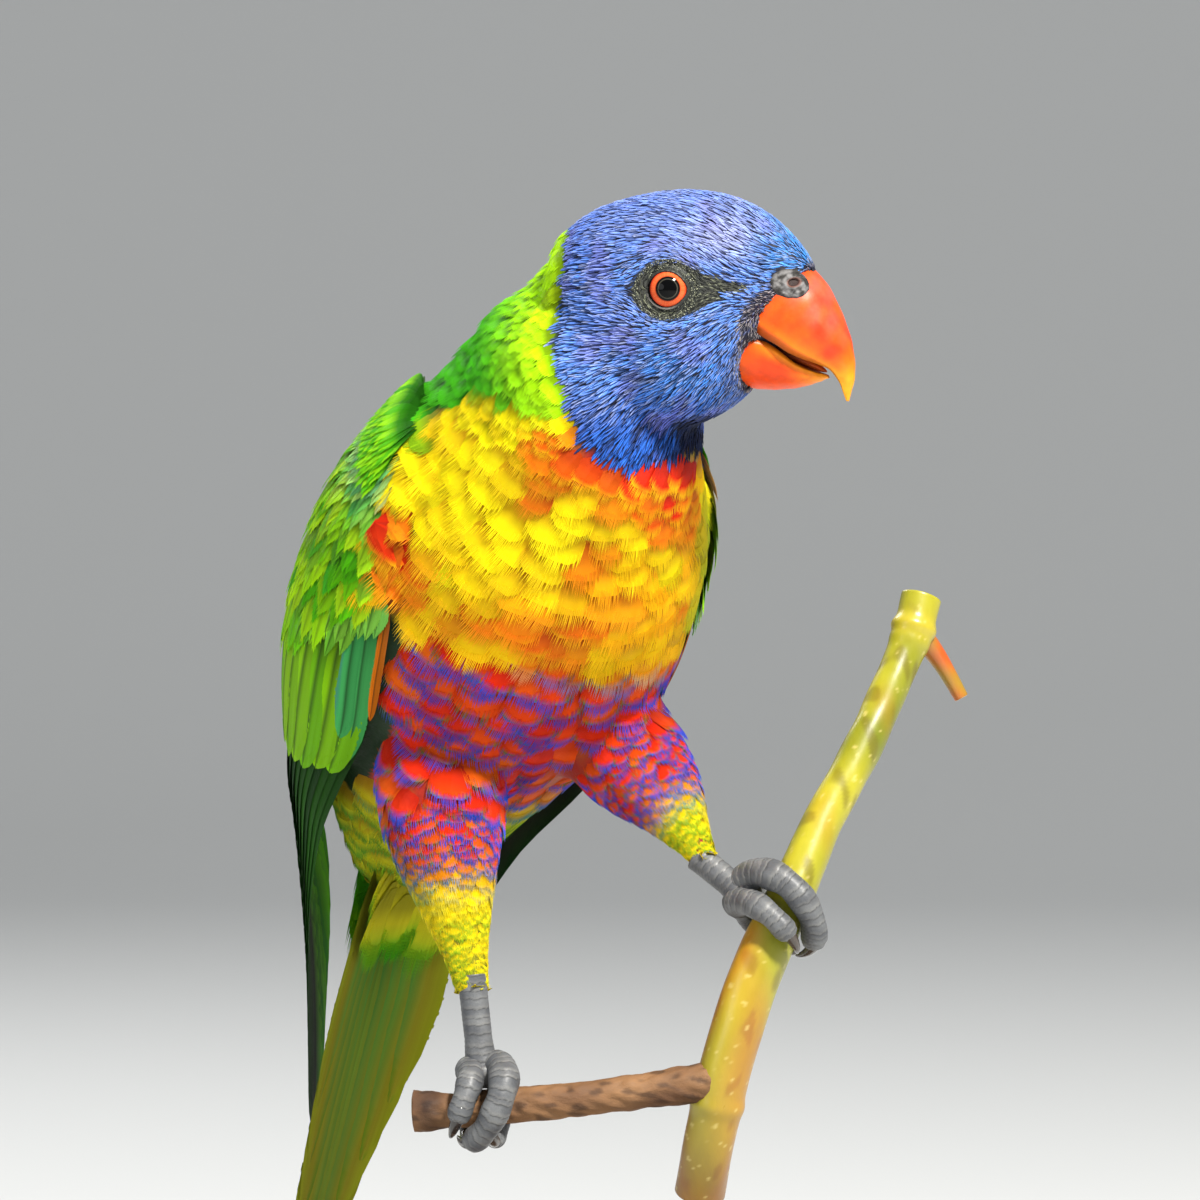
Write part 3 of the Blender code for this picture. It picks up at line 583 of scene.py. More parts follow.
# ------------------------------------------------------------------ roots
def scatter(keep, spacing, seed, tries):
    """Places on the skin, no closer together than spacing says. keep(p, n) says where they may be."""
    rng = np.random.default_rng(seed)
    a, b, c, d = (verts[face_v[:, i]] for i in range(4))
    area1 = np.linalg.norm(np.cross(b - a, c - a), axis=1)
    area2 = np.linalg.norm(np.cross(c - a, d - a), axis=1)
    area = area1 + area2
    ok = keep((a + c) / 2, unit(normals[face_v].sum(1)))
    r = spacing((a + c) / 2)
    weight = area * ok / r**2
    pick = rng.choice(len(area), tries, p=weight / weight.sum())
    first = rng.uniform(size=tries) < (area1 / np.maximum(area, 1e-9))[pick]
    u, v = rng.uniform(size=(2, tries))
    flip = u + v > 1
    u, v = np.where(flip, 1 - u, u), np.where(flip, 1 - v, v)
    A, B, C, D = (verts[face_v[pick, i]] for i in range(4))
    p = np.where(first[:, None], A + (B - A) * u[:, None] + (C - A) * v[:, None], A + (C - A) * u[:, None] + (D - A) * v[:, None])
    n = unit(normals[face_v[pick]].sum(1))
    good = keep(p, n)
    p, n = p[good], n[good]
    r = spacing(p)
    cell = float(r.max())
    boxes, chosen = {}, []
    keys = np.floor(p / cell).astype(int).tolist()
    pl, rl = p.tolist(), r.tolist()
    for i, (x, y, z) in enumerate(keys):
        q, ri = pl[i], rl[i] ** 2
        clear = True
        for dx in (-1, 0, 1):
            for dy in (-1, 0, 1):
                for dz in (-1, 0, 1):
                    for o in boxes.get((x + dx, y + dy, z + dz), ()):
                        if (q[0] - o[0]) ** 2 + (q[1] - o[1]) ** 2 + (q[2] - o[2]) ** 2 < ri:
                            clear = False
                            break
                    if not clear:
                        break
                if not clear:
                    break
            if not clear:
                break
        if clear:
            boxes.setdefault((x, y, z), []).append(q)
            chosen.append(i)
    return p[chosen], n[chosen]


def combed(p, n, length, steps, rise, reach=1.0, sink=0.15, turn=None, lift_way=None):
    """Centre lines that lie along the skin from each root: places, up and side directions at steps + 1 stations.
    rise is how far the tip stands above the skin, and reach how far past the tip the line goes on."""
    lines, ups = [], []
    q, m = settle(p)
    d = flow(q, m)
    if turn is not None:
        d = unit(d * np.cos(turn)[:, None] + np.cross(m, d) * np.sin(turn)[:, None])
    stride = (length * reach / steps)[:, None]
    pos, base = q.copy(), m.copy()
    for k in range(steps + 1):
        f = k / steps * reach
        lines.append(pos + m * (np.minimum(f, 1.15) ** 0.8 * rise - sink)[:, None])
        ups.append(m)
        if k < steps:
            new, m2 = settle(pos + d * stride)
            way = flow(new, m2)
            if turn is not None:
                way = unit(way * np.cos(turn)[:, None] + np.cross(m2, way) * np.sin(turn)[:, None])
            d = unit(d * 0.5 + way * 0.5)
            d = unit(d - m2 * dot(d, m2))
            pos, m = new, m2
    C, U = np.stack(lines, 1), np.stack(ups, 1)
    W = unit(np.gradient(C, axis=1))
    U = unit(U - W * dot(U, W))
    return C, U, np.cross(W, U)


# ------------------------------------------------------------------ one feather's shape, to be laid along many lines
class Shape:
    """x is across in half widths, t along (0 root, 1 tip), z above the line in mm; e is not used."""

    def __init__(self):
        self.x, self.t, self.z, self.e, self.mark, self.faces, self.uv = [], [], [], [], [], [], []

    def point(self, x, t, z=0.0, e=1.0, mark=0.0):
        self.x.append(x); self.t.append(t); self.z.append(z); self.e.append(e); self.mark.append(mark)
        return len(self.x) - 1

    def face(self, ids, uv):
        self.faces.append(ids)
        self.uv.append(uv)

    def ready(self):
        for k in ("x", "t", "z", "e", "mark"):
            setattr(self, k, np.array(getattr(self, k), float))
        self.groups = {}
        for ids, uv in zip(self.faces, self.uv):
            self.groups.setdefault(len(ids), ([], []))
            self.groups[len(ids)][0].append(ids)
            self.groups[len(ids)][1].append(uv)
        self.groups = {k: (np.array(a), np.array(b, float)) for k, (a, b) in self.groups.items()}
        self.tris = sum((k - 2) * len(a) for k, (a, b) in self.groups.items())
        return self

    def prism(self, rows, kind=0.0):
        """A closed three-sided sliver: rows of (x, t, z, half width, height), the last one a point."""
        before = None
        for i, (x, t, z, w, hgt) in enumerate(rows[:-1]):
            ids = [self.point(x - w, t, z, 1, kind), self.point(x, t, z + hgt, 1, kind + 1), self.point(x + w, t, z, 1, kind)]
            if before:
                t0 = rows[i - 1][1]
                for j in range(3):
                    k = (j + 1) % 3
                    u0, u1 = j / 3, (j + 1) / 3
                    self.face([before[j], before[k], ids[k], ids[j]][::-1], [(u0, t0), (u1, t0), (u1, t), (u0, t)][::-1])
            else:
                self.face(ids, [(0.1, t), (0.5, t + 0.06), (0.9, t)])
            before = ids
        x, t, z = rows[-1][:3]
        tip = self.point(x, t, z, 1, kind + 0.6)
        t0 = rows[-2][1]
        for j in range(3):
            k = (j + 1) % 3
            self.face([before[j], before[k], tip][::-1], [(j / 3, t0), ((j + 1) / 3, t0), ((j + 0.5) / 3, t)][::-1])


def sliver(rows=((0.0, 0.45), (0.3, 0.9), (0.6, 1.0), (0.84, 0.7), (1.0, 0.0)), height=0.55):
    s = Shape()
    s.prism([(0.0, t, 0.0, w, height * (0.5 + 0.5 * w)) for t, w in rows])
    return s.ready()


def vane(outline, cols=5, thick=0.14, ridge=0.0, shape=None):
    """A closed thin blade: outline is rows of (t, half width as a share)."""
    s = shape or Shape()
    xs = np.linspace(-1, 1, cols)
    before = None
    for i, (t, w) in enumerate(outline):
        top = [s.point(x * w, t, (ridge if abs(x) < 0.05 else 0.0), 1, 1 - abs(x)) for x in xs]
        low = s.point(0.0, t, -thick, 1, 0.0)
        ids = top + [low]
        n = len(ids)
        if before:
            t0 = outline[i - 1][0]
            for j in range(n):
                k = (j + 1) % n
                if j < cols - 1:
                    u0, u1 = j / (cols - 1), (j + 1) / (cols - 1)
                else:
                    u0, u1 = ((1.0, 0.5), (0.5, 0.0))[j - cols + 1]
                s.face([before[j], before[k], ids[k], ids[j]][::-1], [(u0, t0), (u1, t0), (u1, t), (u0, t)][::-1])
        else:
            s.face(ids, [(j / (cols - 1), t) for j in range(cols)] + [(0.5, t - 0.05)])
        before = ids
    t = outline[-1][0]
    s.face(before[::-1], ([(j / (cols - 1), t) for j in range(cols)] + [(0.5, t - 0.05)])[::-1])
    return s if shape else s.ready()


def plume(seed, barbs=27, outline=((0.0, 0.35), (0.2, 0.8), (0.42, 1.0), (0.60, 1.0), (0.72, 0.88), (0.80, 0.60)), fringe=0.26, fine=0.026, spread=0.5):
    """A soft body feather: a blade whose rounded end breaks up into hair-like barbs."""
    rng = np.random.default_rng(seed)
    s = Shape()
    vane(outline, 5, 0.12, 0.0, s)
    ts, ws = np.array(outline).T
    for b in range(barbs):
        v = (b + 0.5) / barbs * 2 - 1 + rng.uniform(-0.5, 0.5) / barbs
        side, a = math.copysign(1, v), abs(v)
        # round the rim: from the blade's flank up to its tip
        t0 = 0.79 - 0.40 * a**2.4 + rng.uniform(-0.02, 0.02)
        w0 = float(np.interp(t0, ts, ws)) * min(1.0, a * 1.25 + 0.02)
        length = fringe * rng.uniform(0.72, 1.18) * (1.12 - 0.25 * a)
        lean = spread * (0.35 * a + 0.12) * rng.uniform(0.6, 1.4)
        rows = []
        for f, r in ((-0.25, 1.0), (0.45, 0.85), (1.0, 0.0)):
            rows.append((side * (w0 + lean * length * 1.6 * f), t0 + length * f, 0.02 + 0.03 * f, fine * r, 0.10 * r))
        s.prism(rows, 2.0)
    return s.ready()


def laid(shapes, pick, C, U, S, half, reach, camber, zs=1.0):
    """Feathers of the given shapes laid along lines. Returns parts: one block per shape, with verts, template and which feathers they are."""
    parts = []
    steps = C.shape[1] - 1
    for k, sh in enumerate(shapes):
        who = np.flatnonzero(pick == k)
        if not len(who):
            continue
        g = np.clip(sh.t / reach, 0, 1) * steps
        i = np.minimum(g.astype(int), steps - 1)
        f = (g - i)[None, :, None]
        over = np.maximum(sh.t / reach - 1, 0)[None, :, None]
        c = C[who][:, i] * (1 - f) + C[who][:, i + 1] * f + (C[who][:, -1:] - C[who][:, -2:-1]) * over * steps
        u = unit(U[who][:, i] * (1 - f) + U[who][:, i + 1] * f)
        s = unit(S[who][:, i] * (1 - f) + S[who][:, i + 1] * f)
        w = half[who][:, None, None]
        cam = camber[who][:, None, None] * w
        x = sh.x[None, :, None]
        v = c + s * (x * w) + u * (sh.z[None, :, None] * (zs if np.isscalar(zs) else zs[who][:, None, None]) - cam * x**2)
        parts.append((v, sh, who))
    return parts


def strip_map(s, ids, uv):
    """A long feather's map laid out in its own strip: its face, its underside, and the barbs of each edge."""
    barb = (s.mark[ids] >= 2).any(1)
    low = (s.z[ids] < -0.05).any(1) & ~barb
    left = np.where(barb, np.where(s.x[ids].mean(1) < 0, 0.86, 0.93), np.where(low, 0.60, 0.02))
    wide = np.where(barb, 0.055, np.where(low, 0.24, 0.55))
    return np.stack([left[:, None] + wide[:, None] * uv[..., 0], 0.02 + 0.88 * (uv[..., 1] + 0.055)], -1)


def coat(name, parts, tint, uv_root, mat, replaces=(), limit=190000, patch=0.003, smooth_shade=False, strips=False):
    """Joins laid feathers into pieces of under 200,000 triangles. tint(part) gives colours per vertex; uv_root is each feather's place on the unwrapped skin."""
    total = sum(len(w) * s.tris for v, s, w in parts)
    many = sum(len(w) for v, s, w in parts)
    count = int(math.ceil(total / limit))
    made = []
    for c in range(count):
        V, F3, F4, F6, col, fan, uvs = [], {}, [], [], [], [], {}
        base = 0
        for v, s, who in parts:
            a, b = len(who) * c // count, len(who) * (c + 1) // count
            if a == b:
                continue
            vv, ww = v[a:b], who[a:b]
            m = vv.shape[1]
            V.append(vv.reshape(-1, 3))
            col.append(tint(vv, s, ww).reshape(-1, 3))
            fid = hash3(ww[:, None] * np.array([[0.731, 0.377, 0.113]]), 3)
            fan.append(np.stack(np.broadcast_arrays(s.x[None], s.t[None], fid[:, None]), -1).reshape(-1, 3))
            first = base + np.arange(len(ww))[:, None, None] * m
            for k, (ids, uv) in s.groups.items():
                F3.setdefault(k, []).append((ids[None] + first).reshape(-1, k))
                if strips:
                    local = strip_map(s, ids, uv)[None] * (1 / many, 1.0) + np.stack([ww / many, 0.0 * ww], -1)[:, None, None]
                else:
                    local = (uv[None] - (0.5, 0.55)) * patch + uv_root[ww][:, None, None]
                uvs.setdefault(k, []).append(local.reshape(-1, 2))
            base += len(ww) * m
        order = sorted(F3)
        faces = [np.concatenate(F3[k]) for k in order]
        me = new_mesh(f"{name}_{c + 1}" if count > 1 else name, np.concatenate(V), faces, smooth_shade)
        colour = np.ones((len(me.vertices), 4), np.float32)
        colour[:, :3] = np.concatenate(col)
        layer = me.color_attributes.new("tint", "FLOAT_COLOR", "POINT")
        layer.data.foreach_set("color", colour.ravel())
        layer = me.attributes.new("fan", "FLOAT_VECTOR", "POINT")
        layer.data.foreach_set("vector", np.concatenate(fan).astype(np.float32).ravel())
        uv = np.clip(np.concatenate([np.concatenate(uvs[k]) for k in order]), 0.0005, 0.9995)
        layer = me.uv_layers.new(name="OFBake")
        layer.uv.foreach_set("vector", uv.astype(np.float32).ravel())
        made.append(show(me.name, me, mat, replaces if c == 0 else ()))
    print(name, total, "triangles in", count)
    return made


def uv_head(p):
    """The head unwrapped as a globe: round it from the back, and from chin to crown."""
    h = to_head(p) + (2.0, 0, 2.0)
    lon = np.arctan2(h[..., 1], h[..., 0]) / (2 * math.pi) + 0.5
    lat = np.arcsin(np.clip(h[..., 2] / np.linalg.norm(h, axis=-1), -1, 1)) / math.pi + 0.5
    return np.stack([0.01 + 0.98 * lon, 0.01 + 0.98 * lat], -1)


def uv_body(p):
    """The body unwrapped as a barrel: round it from the back's middle, and from tail to head."""
    p = np.asarray(p)
    flat = p.reshape(-1, 3)
    t, ang = spine_of(flat)
    centre, way, dorsal = body_frame(TRUNK, t)
    off = flat - centre
    a = np.arctan2(off[:, 0], -(off * dorsal).sum(1)) / (2 * math.pi) + 0.5
    along = (flat * way).sum(1)
    v = (along + 110) / 190
    return np.clip(np.stack([0.01 + 0.98 * a, v], -1), 0.01, 0.99).reshape(p.shape[:-1] + (2,))

# ------------------------------------------------------------------ materials
def fresh(name):
    m = bpy.data.materials.new(name)
    m.use_nodes = True
    nt = m.node_tree
    return m, nt, nt.nodes["Principled BSDF"]


def node(nt, kind, **sets):
    n = nt.nodes.new(kind)
    for k, v in sets.items():
        if k.startswith("in_"):
            key = k[3:]
            n.inputs[int(key) if key.isdigit() else key].default_value = v
        else:
            setattr(n, k, v)
    return n


def maths(nt, op, a, b=None, c=None):
    n = nt.nodes.new("ShaderNodeMath")
    n.operation = op
    for i, v in enumerate((a, b, c)):
        if v is None:
            continue
        if isinstance(v, (int, float)):
            n.inputs[i].default_value = v
        else:
            nt.links.new(v, n.inputs[i])
    return n.outputs[0]


def attr(nt, name, out="Color"):
    n = node(nt, "ShaderNodeAttribute", attribute_name=name)
    return n.outputs[out]


def scaled_colour(nt, colour, factor):
    """colour times a number, as nodes."""
    n = nt.nodes.new("ShaderNodeVectorMath")
    n.operation = "SCALE"
    nt.links.new(colour, n.inputs[0])
    nt.links.new(factor, n.inputs["Scale"])
    return n.outputs[0]


def plumage(name, rough=0.5, barbs=(26, 5, 0.16), streak=(3.0, 1.2, 0.30), spec=0.35, sheen=0.25, bump=0.25, patch=0.0):
    """Feather: the painted colour, fine lines along the barbs, streaks along the feather and a soft gloss."""
    m, nt, bsdf = fresh(name)
    tint = attr(nt, "tint")
    fan = attr(nt, "fan", "Vector")
    sep = nt.nodes.new("ShaderNodeSeparateXYZ")
    nt.links.new(fan, sep.inputs[0])
    x, t, rnd = sep.outputs
    ax = maths(nt, "ABSOLUTE", x)
    run, slant, amount = barbs
    q = maths(nt, "SUBTRACT", maths(nt, "MULTIPLY", t, float(run)), maths(nt, "MULTIPLY", ax, float(slant)))
    wob = node(nt, "ShaderNodeTexNoise", in_Scale=1.0, in_Detail=2.0)
    comb = nt.nodes.new("ShaderNodeCombineXYZ")
    nt.links.new(maths(nt, "MULTIPLY", x, streak[0]), comb.inputs[0])
    nt.links.new(maths(nt, "MULTIPLY", t, streak[1]), comb.inputs[1])
    nt.links.new(maths(nt, "MULTIPLY", rnd, 91.0), comb.inputs[2])
    nt.links.new(comb.outputs[0], wob.inputs["Vector"])
    noise = wob.outputs["Fac"]
    q = maths(nt, "ADD", q, maths(nt, "MULTIPLY", noise, 1.5))
    wave = maths(nt, "MULTIPLY_ADD", maths(nt, "SINE", maths(nt, "MULTIPLY", q, 6.2832)), 0.5, 0.5)
    value = maths(nt, "SUBTRACT", 1.0 + streak[2] * 0.5, maths(nt, "MULTIPLY", noise, streak[2]))
    value = maths(nt, "SUBTRACT", value, maths(nt, "MULTIPLY", wave, amount))
    colour = scaled_colour(nt, tint, value)
    if patch:
        broad = node(nt, "ShaderNodeTexNoise", in_Scale=180.0, in_Detail=3.0)
        place = nt.nodes.new("ShaderNodeNewGeometry")
        nt.links.new(place.outputs["Position"], broad.inputs["Vector"])
        colour = scaled_colour(nt, colour, maths(nt, "MULTIPLY_ADD", broad.outputs["Fac"], patch, 1.0 - patch * 0.5))
    nt.links.new(colour, bsdf.inputs["Base Color"])
    nt.links.new(maths(nt, "MULTIPLY_ADD", noise, 0.25, rough - 0.12), bsdf.inputs["Roughness"])
    bsdf.inputs["Specular IOR Level"].default_value = spec
    bsdf.inputs["Sheen Weight"].default_value = sheen
    bsdf.inputs["Sheen Roughness"].default_value = 0.4
    b = node(nt, "ShaderNodeBump", in_Strength=bump, in_Distance=0.0002)
    nt.links.new(wave, b.inputs["Height"])
    nt.links.new(b.outputs[0], bsdf.inputs["Normal"])
    return m


def painted(name, rough=0.5, spec=0.4, noise_scale=600.0, noise_amount=0.25, bump=0.3, distance=0.0002, coat_w=0.0, coat_r=0.1, rough_var=0.2, detail=4.0, stretch=None, sheen=0.0, sss=0.0):
    """A surface with a painted colour, varied and roughened by noise in place."""
    m, nt, bsdf = fresh(name)
    tint = attr(nt, "tint")
    place = nt.nodes.new("ShaderNodeNewGeometry").outputs["Position"]
    if stretch:
        mp = nt.nodes.new("ShaderNodeMapping")
        mp.inputs["Scale"].default_value = stretch
        nt.links.new(place, mp.inputs["Vector"])
        place = mp.outputs[0]
    tex = node(nt, "ShaderNodeTexNoise", in_Scale=noise_scale, in_Detail=detail, in_Roughness=0.6)
    nt.links.new(place, tex.inputs["Vector"])
    f = tex.outputs["Fac"]
    nt.links.new(scaled_colour(nt, tint, maths(nt, "MULTIPLY_ADD", f, noise_amount * 2, 1.0 - noise_amount)), bsdf.inputs["Base Color"])
    nt.links.new(maths(nt, "MULTIPLY_ADD", f, rough_var * 2, rough - rough_var), bsdf.inputs["Roughness"])
    bsdf.inputs["Specular IOR Level"].default_value = spec
    bsdf.inputs["Coat Weight"].default_value = coat_w
    bsdf.inputs["Coat Roughness"].default_value = coat_r
    bsdf.inputs["Sheen Weight"].default_value = sheen
    if bump:
        b = node(nt, "ShaderNodeBump", in_Strength=bump, in_Distance=distance)
        nt.links.new(f, b.inputs["Height"])
        nt.links.new(b.outputs[0], bsdf.inputs["Normal"])
    return m


def paint(me, colours):
    c = np.ones((len(me.vertices), 4), np.float32)
    c[:, :3] = colours
    layer = me.color_attributes.new("tint", "FLOAT_COLOR", "POINT")
    layer.data.foreach_set("color", c.ravel())


def mix(a, b, f):
    f = np.asarray(f, float)
    if f.ndim and f.shape[-1:] != (1,):
        f = f[..., None]
    return np.asarray(a) * (1 - f) + np.asarray(b) * f


# ------------------------------------------------------------------ colours by place
def eye_patch(h):
    """1 in the dark bare-looking patch round the eye and along the lores to the bill, 0 outside."""
    x, z = h[..., 0] - EYE_AT[0], h[..., 2] - EYE_AT[2]
    ring = smooth(np.hypot(x / 5.6, (z + 0.25) / 4.7), 1.12, 0.92)
    half = np.interp(x, [0, 4, 8, 11, 13, 15], [4.0, 3.4, 1.9, 1.0, 0.4, 0.05])
    lore = smooth(np.abs(z + 0.5 - 0.05 * x) / half, 1.25, 0.85) * (x > 0)
    return np.maximum(ring, lore) * (np.abs(h[..., 1]) > 2.5)


def cere_zone(h):
    return (h[..., 0] > 16.6 + 0.25 * np.abs(h[..., 2] - 1.5)) & (h[..., 2] < 4.0 - 0.12 * (h[..., 0] - 18)) & (h[..., 2] > -2.6)


def throat_shade(x, z):
    """Where the shadow under the chin is painted: the head's shadow falling on the throat."""
    return smooth(x - 0.1 - (z + 20.3) * 0.273, -1.1, 1.0) * smooth(z + 19.9 - (x - 3.0) * 0.226, 1.0, -0.8)


def hood_colour(h, seed=0):
    x, y, z = h[..., 0], np.abs(h[..., 1]), h[..., 2]
    q = np.stack([x, y, z], -1)
    c = np.broadcast_to(lin(88, 146, 250), h.shape).copy()
    c = mix(c, lin(112, 146, 240), smooth(z, 3, 11))
    # pale lilac on the forehead: a painted highlight where the light falls from above and in front
    c = mix(c, lin(186, 192, 252), 0.85 * np.exp(-(((x - 9.5) / 6.8) ** 2 + ((z - 8.5) / 4.0) ** 2)))
    c = mix(c, lin(64, 122, 240), 0.6 * smooth(x, -9, -17) * smooth(z, -6, 3))
    c = mix(c, lin(50, 150, 244), 0.9 * smooth(x, 12, 18) * smooth(z, 1.5, 5))
    c = mix(c, lin(118, 142, 238), 0.6 * np.exp(-(((x + 8) / 6) ** 2 + ((z + 5) / 4.5) ** 2)))
    c = mix(c, lin(48, 146, 255), 0.8 * np.exp(-(((x - 2.5) / 8.0) ** 2 + ((z + 13.5) / 6.0) ** 2)))
    c = mix(c, lin(24, 96, 206), 0.85 * smooth(z, -13, -20))
    c = mix(c, lin(52, 66, 128), 0.8 * smooth(x, -9, -18) * smooth(z, -12, -20))
    c = mix(c, lin(30, 52, 116), 0.6 * smooth(bill_gap(h), 3.4, 0.8) * smooth(z, -2, -8))
    # painted shadow under the chin, in near-black navy, with no lilac in it
    shade = throat_shade(x, z)
    c = mix(c, lin(6, 16, 46), 0.95 * shade)
    n = soft_noise(q, 6.0, 1)
    c = mix(c, lin(136, 118, 206), 0.45 * smooth(n, 0.2, 1.0) * (1 - shade))
    c = mix(c, lin(50, 60, 116), 0.45 * smooth(soft_noise(q, 2.6, 2), 0.40, 1.2))
    c = c * (1 + 0.22 * soft_noise(q, 1.3, 3))[..., None]
    return c


GREEN, DEEP, LIME = lin(64, 172, 18), lin(28, 96, 16), lin(186, 246, 8)
YELLOW, GOLD, ORANGE, RED = lin(255, 238, 4), lin(255, 200, 4), lin(250, 134, 12), lin(232, 44, 4)
BLUE, VIOLET = lin(26, 84, 214), lin(96, 84, 218)


def body_colour(p, t, ang):
    """Base and tip colours of the body feathers, and where along a feather one turns into the other."""
    h = to_head(p)
    hd = hood_depth(h)
    x, y, z = p[..., 0], p[..., 1], p[..., 2]
    blur = soft_noise(p, 12.0, 5)
    fine = soft_noise(p, 5.0, 6)
    # breast
    q = p + np.stack([fine, blur, blur], -1) * 1.3
    red = 0
    for cx, cy, cz, rx, ry, rz, k in (
        (0, -19, 18, 11, 7, 5.2, 1.15), (10, -15, 16.5, 6, 7, 3.8, 0.9), (4.5, -13, 8.6, 6.6, 7, 3.0, 1.6), (-20, -14, 22, 5.0, 6, 4.6, 0.72), (-11.4, -20, 23, 6, 6, 3.4, 0.9),
        (-15, -17, 16, 6.5, 7, 4.0, 0.70), (6, -15, 12.5, 4, 6, 1.8, 0.7), (16, -10, 12, 4, 6, 2.6, 0.6), (-21, -10, 12, 5, 6, 3.6, 0.5), (-36, 11, 4, 4.5, 5, 7, 0.85), (27, 8, 4, 4, 6, 7, 0.5), (-9, -13, 4, 5, 6, 2.4, 0.55),
        (17, -8, 6, 4, 6, 4, 0.6), (-27, 2, -9, 7, 6, 3.4, 0.5), (-5, -6, -9, 9, 7, 3, 0.55), (14, -3, -6, 7, 7, 3, 0.6), (-16, -3, -8, 6, 6, 2.6, 0.7),
    ):
        red = red + k * bump_at(q, (cx, cy, cz), (rx, ry, rz))
    red = red + 0.30 * smooth(blur, 0.1, 1.1) + 0.12 * smooth(z, -4, -12)
    a = mix(YELLOW, GOLD, np.clip(0.55 * smooth(z, 8, -6) + 0.3 * smooth(x, -22, -8) + 0.3 * fine, 0, 1))
    a = mix(a, ORANGE, smooth(red, 0.12, 0.55))
    a = mix(a, RED, smooth(red, 0.5, 1.05))
    b = mix(a, YELLOW, 0.55 * smooth(red, 0.2, 0.9))
    th = np.full(len(p), 0.80)
    rim = smooth(x, 13, 24) * smooth(z, 20, 10) * smooth(z, -16, -6)
    a = mix(a, lin(190, 196, 20), 0.75 * rim)
    b = mix(b, lin(150, 190, 30), 0.75 * rim)
    # belly and flanks: red, tipped with blue and violet
    line = np.interp(x, [-36, -32, -26, -18, 0, 15, 28], [-8.5, -9.5, -13.5, -16.5, -18.5, -17.0, -12.0]) + 1.2 * blur
    low = smooth(z, line + 1.2, line - 1.2)
    tip = mix(BLUE, VIOLET, np.clip(0.2 + 0.5 * fine, 0, 0.8))
    a = mix(a, mix(RED, ORANGE, np.clip(0.06 + 0.4 * fine, 0, 0.5)), low)
    b = mix(b, tip, low)
    th = np.where(low > 0.5, 0.81 + 0.03 * blur, th)
    # vent and under the tail
    under = smooth(t, 0.27, 0.19) * (ang < 30)
    a = mix(a, lin(196, 196, 20), under)
    b = mix(b, lin(96, 152, 26), under)
    # nape, shoulders and back
    m = mantle_edge(p, t, ang)
    up = smooth(m, -0.8, 0.8)
    lime = smooth(hd, -17, -1.5)
    g = mix(GREEN, LIME, lime)
    g = mix(g, lin(196, 200, 20), 0.45 * smooth(soft_noise(p, 8.0, 7), 0.3, 1.1) * smooth(hd, -9, -1))
    a = mix(a, g * 0.8, up)
    b = mix(b, g * (1.12 + 0.15 * fine[:, None]), up)
    th = np.where(up > 0.5, 0.5, th)
    return a, b, th, low * (1 - up) * (1 - under), up


# ------------------------------------------------------------------ the skin
skin_v, skin_n = verts, normals
sh = to_head(skin_v)
st, sa = spine_of(skin_v)
ca, cb, cth, clow, cup = body_colour(skin_v, st, sa)
hd = smooth(hood_depth(sh), -1.0, 1.5)
# the skin between the feathers: a dark base, and painted shade in the gaps between them
skin_c = mix(ca * 0.35, lin(16, 18, 38), hd)
skin_c = mix(skin_c, lin(54, 56, 52), eye_patch(sh) * hd)
skin_c = mix(skin_c, lin(80, 80, 80), (cere_zone(sh) * 1.0))
# painted shade: the skin under the wing's edge is near-black green, for the shadow gap between wing and belly
skin_c = mix(skin_c, DEEP * 0.16, on_wing(skin_v) * 1.0)
paint(form, skin_c)
lay = form.uv_layers.new(name="OFBake")
loops = np.empty(len(form.loops), np.int32)
form.loops.foreach_get("vertex_index", loops)
suv = uv_body(skin_v)
suv_loops = suv[loops]
first = np.empty(len(form.polygons), np.int32)
form.polygons.foreach_get("loop_start", first)
size = np.empty(len(form.polygons), np.int32)
form.polygons.foreach_get("loop_total", size)
face_of = np.repeat(np.arange(len(first)), size)
u0 = suv_loops[first][face_of, 0]
du = suv_loops[:, 0] - u0
suv_loops[:, 0] = np.clip(np.where(du > 0.5, 0.995, np.where(du < -0.5, 0.005, suv_loops[:, 0])), 0.001, 0.999)
lay.uv.foreach_set("vector", suv_loops.astype(np.float32).ravel())
form.polygons.foreach_set("use_smooth", np.ones(len(form.polygons), bool))
form.name = "bird_skin"
skin_mat = painted("skin_under_feathers", 0.6, 0.3, 900.0, 0.35, 0.5, 0.0003)
skin = show("bird_skin", form, skin_mat, ("head", "neck", "trunk", "leg_left", "leg_right"))

# ------------------------------------------------------------------ head feathers
rng = np.random.default_rng(7)


def bristle_band(h):
    """How far back from the upper bill and the corner of the mouth the bare-looking bristles reach, in mm."""
    return 1.9 * smooth(h[..., 2], -9.5, -7.0) * smooth(h[..., 2], 2.5, 0.0)


def hood_keep(p, n):
    h = to_head(p)
    ragged = 0.5 * soft_noise(p, 3.0, 11) + 0.7 * soft_noise(p, 0.9, 12)
    return (hood_depth(h) > 1.7 + ragged) & (bill_gap(h) > 0.2 + bristle_band(h)) & ~cere_zone(h) & (eye_patch(h) < 0.5)


def hood_spacing(p):
    h = to_head(p)
    near_eye = np.hypot(h[:, 0] - EYE_AT[0], h[:, 2] - EYE_AT[2])
    s = 0.425 + 0.06 * smooth(h[:, 2], -12, -22) + 0.03 * smooth(h[:, 0], -8, -16)
    s = s - 0.11 * smooth(bill_gap(h), 7, 2)
    s = s - 0.11 * smooth(near_eye, 9.5, 6.5) * (np.abs(h[:, 1]) > 6)
    return s


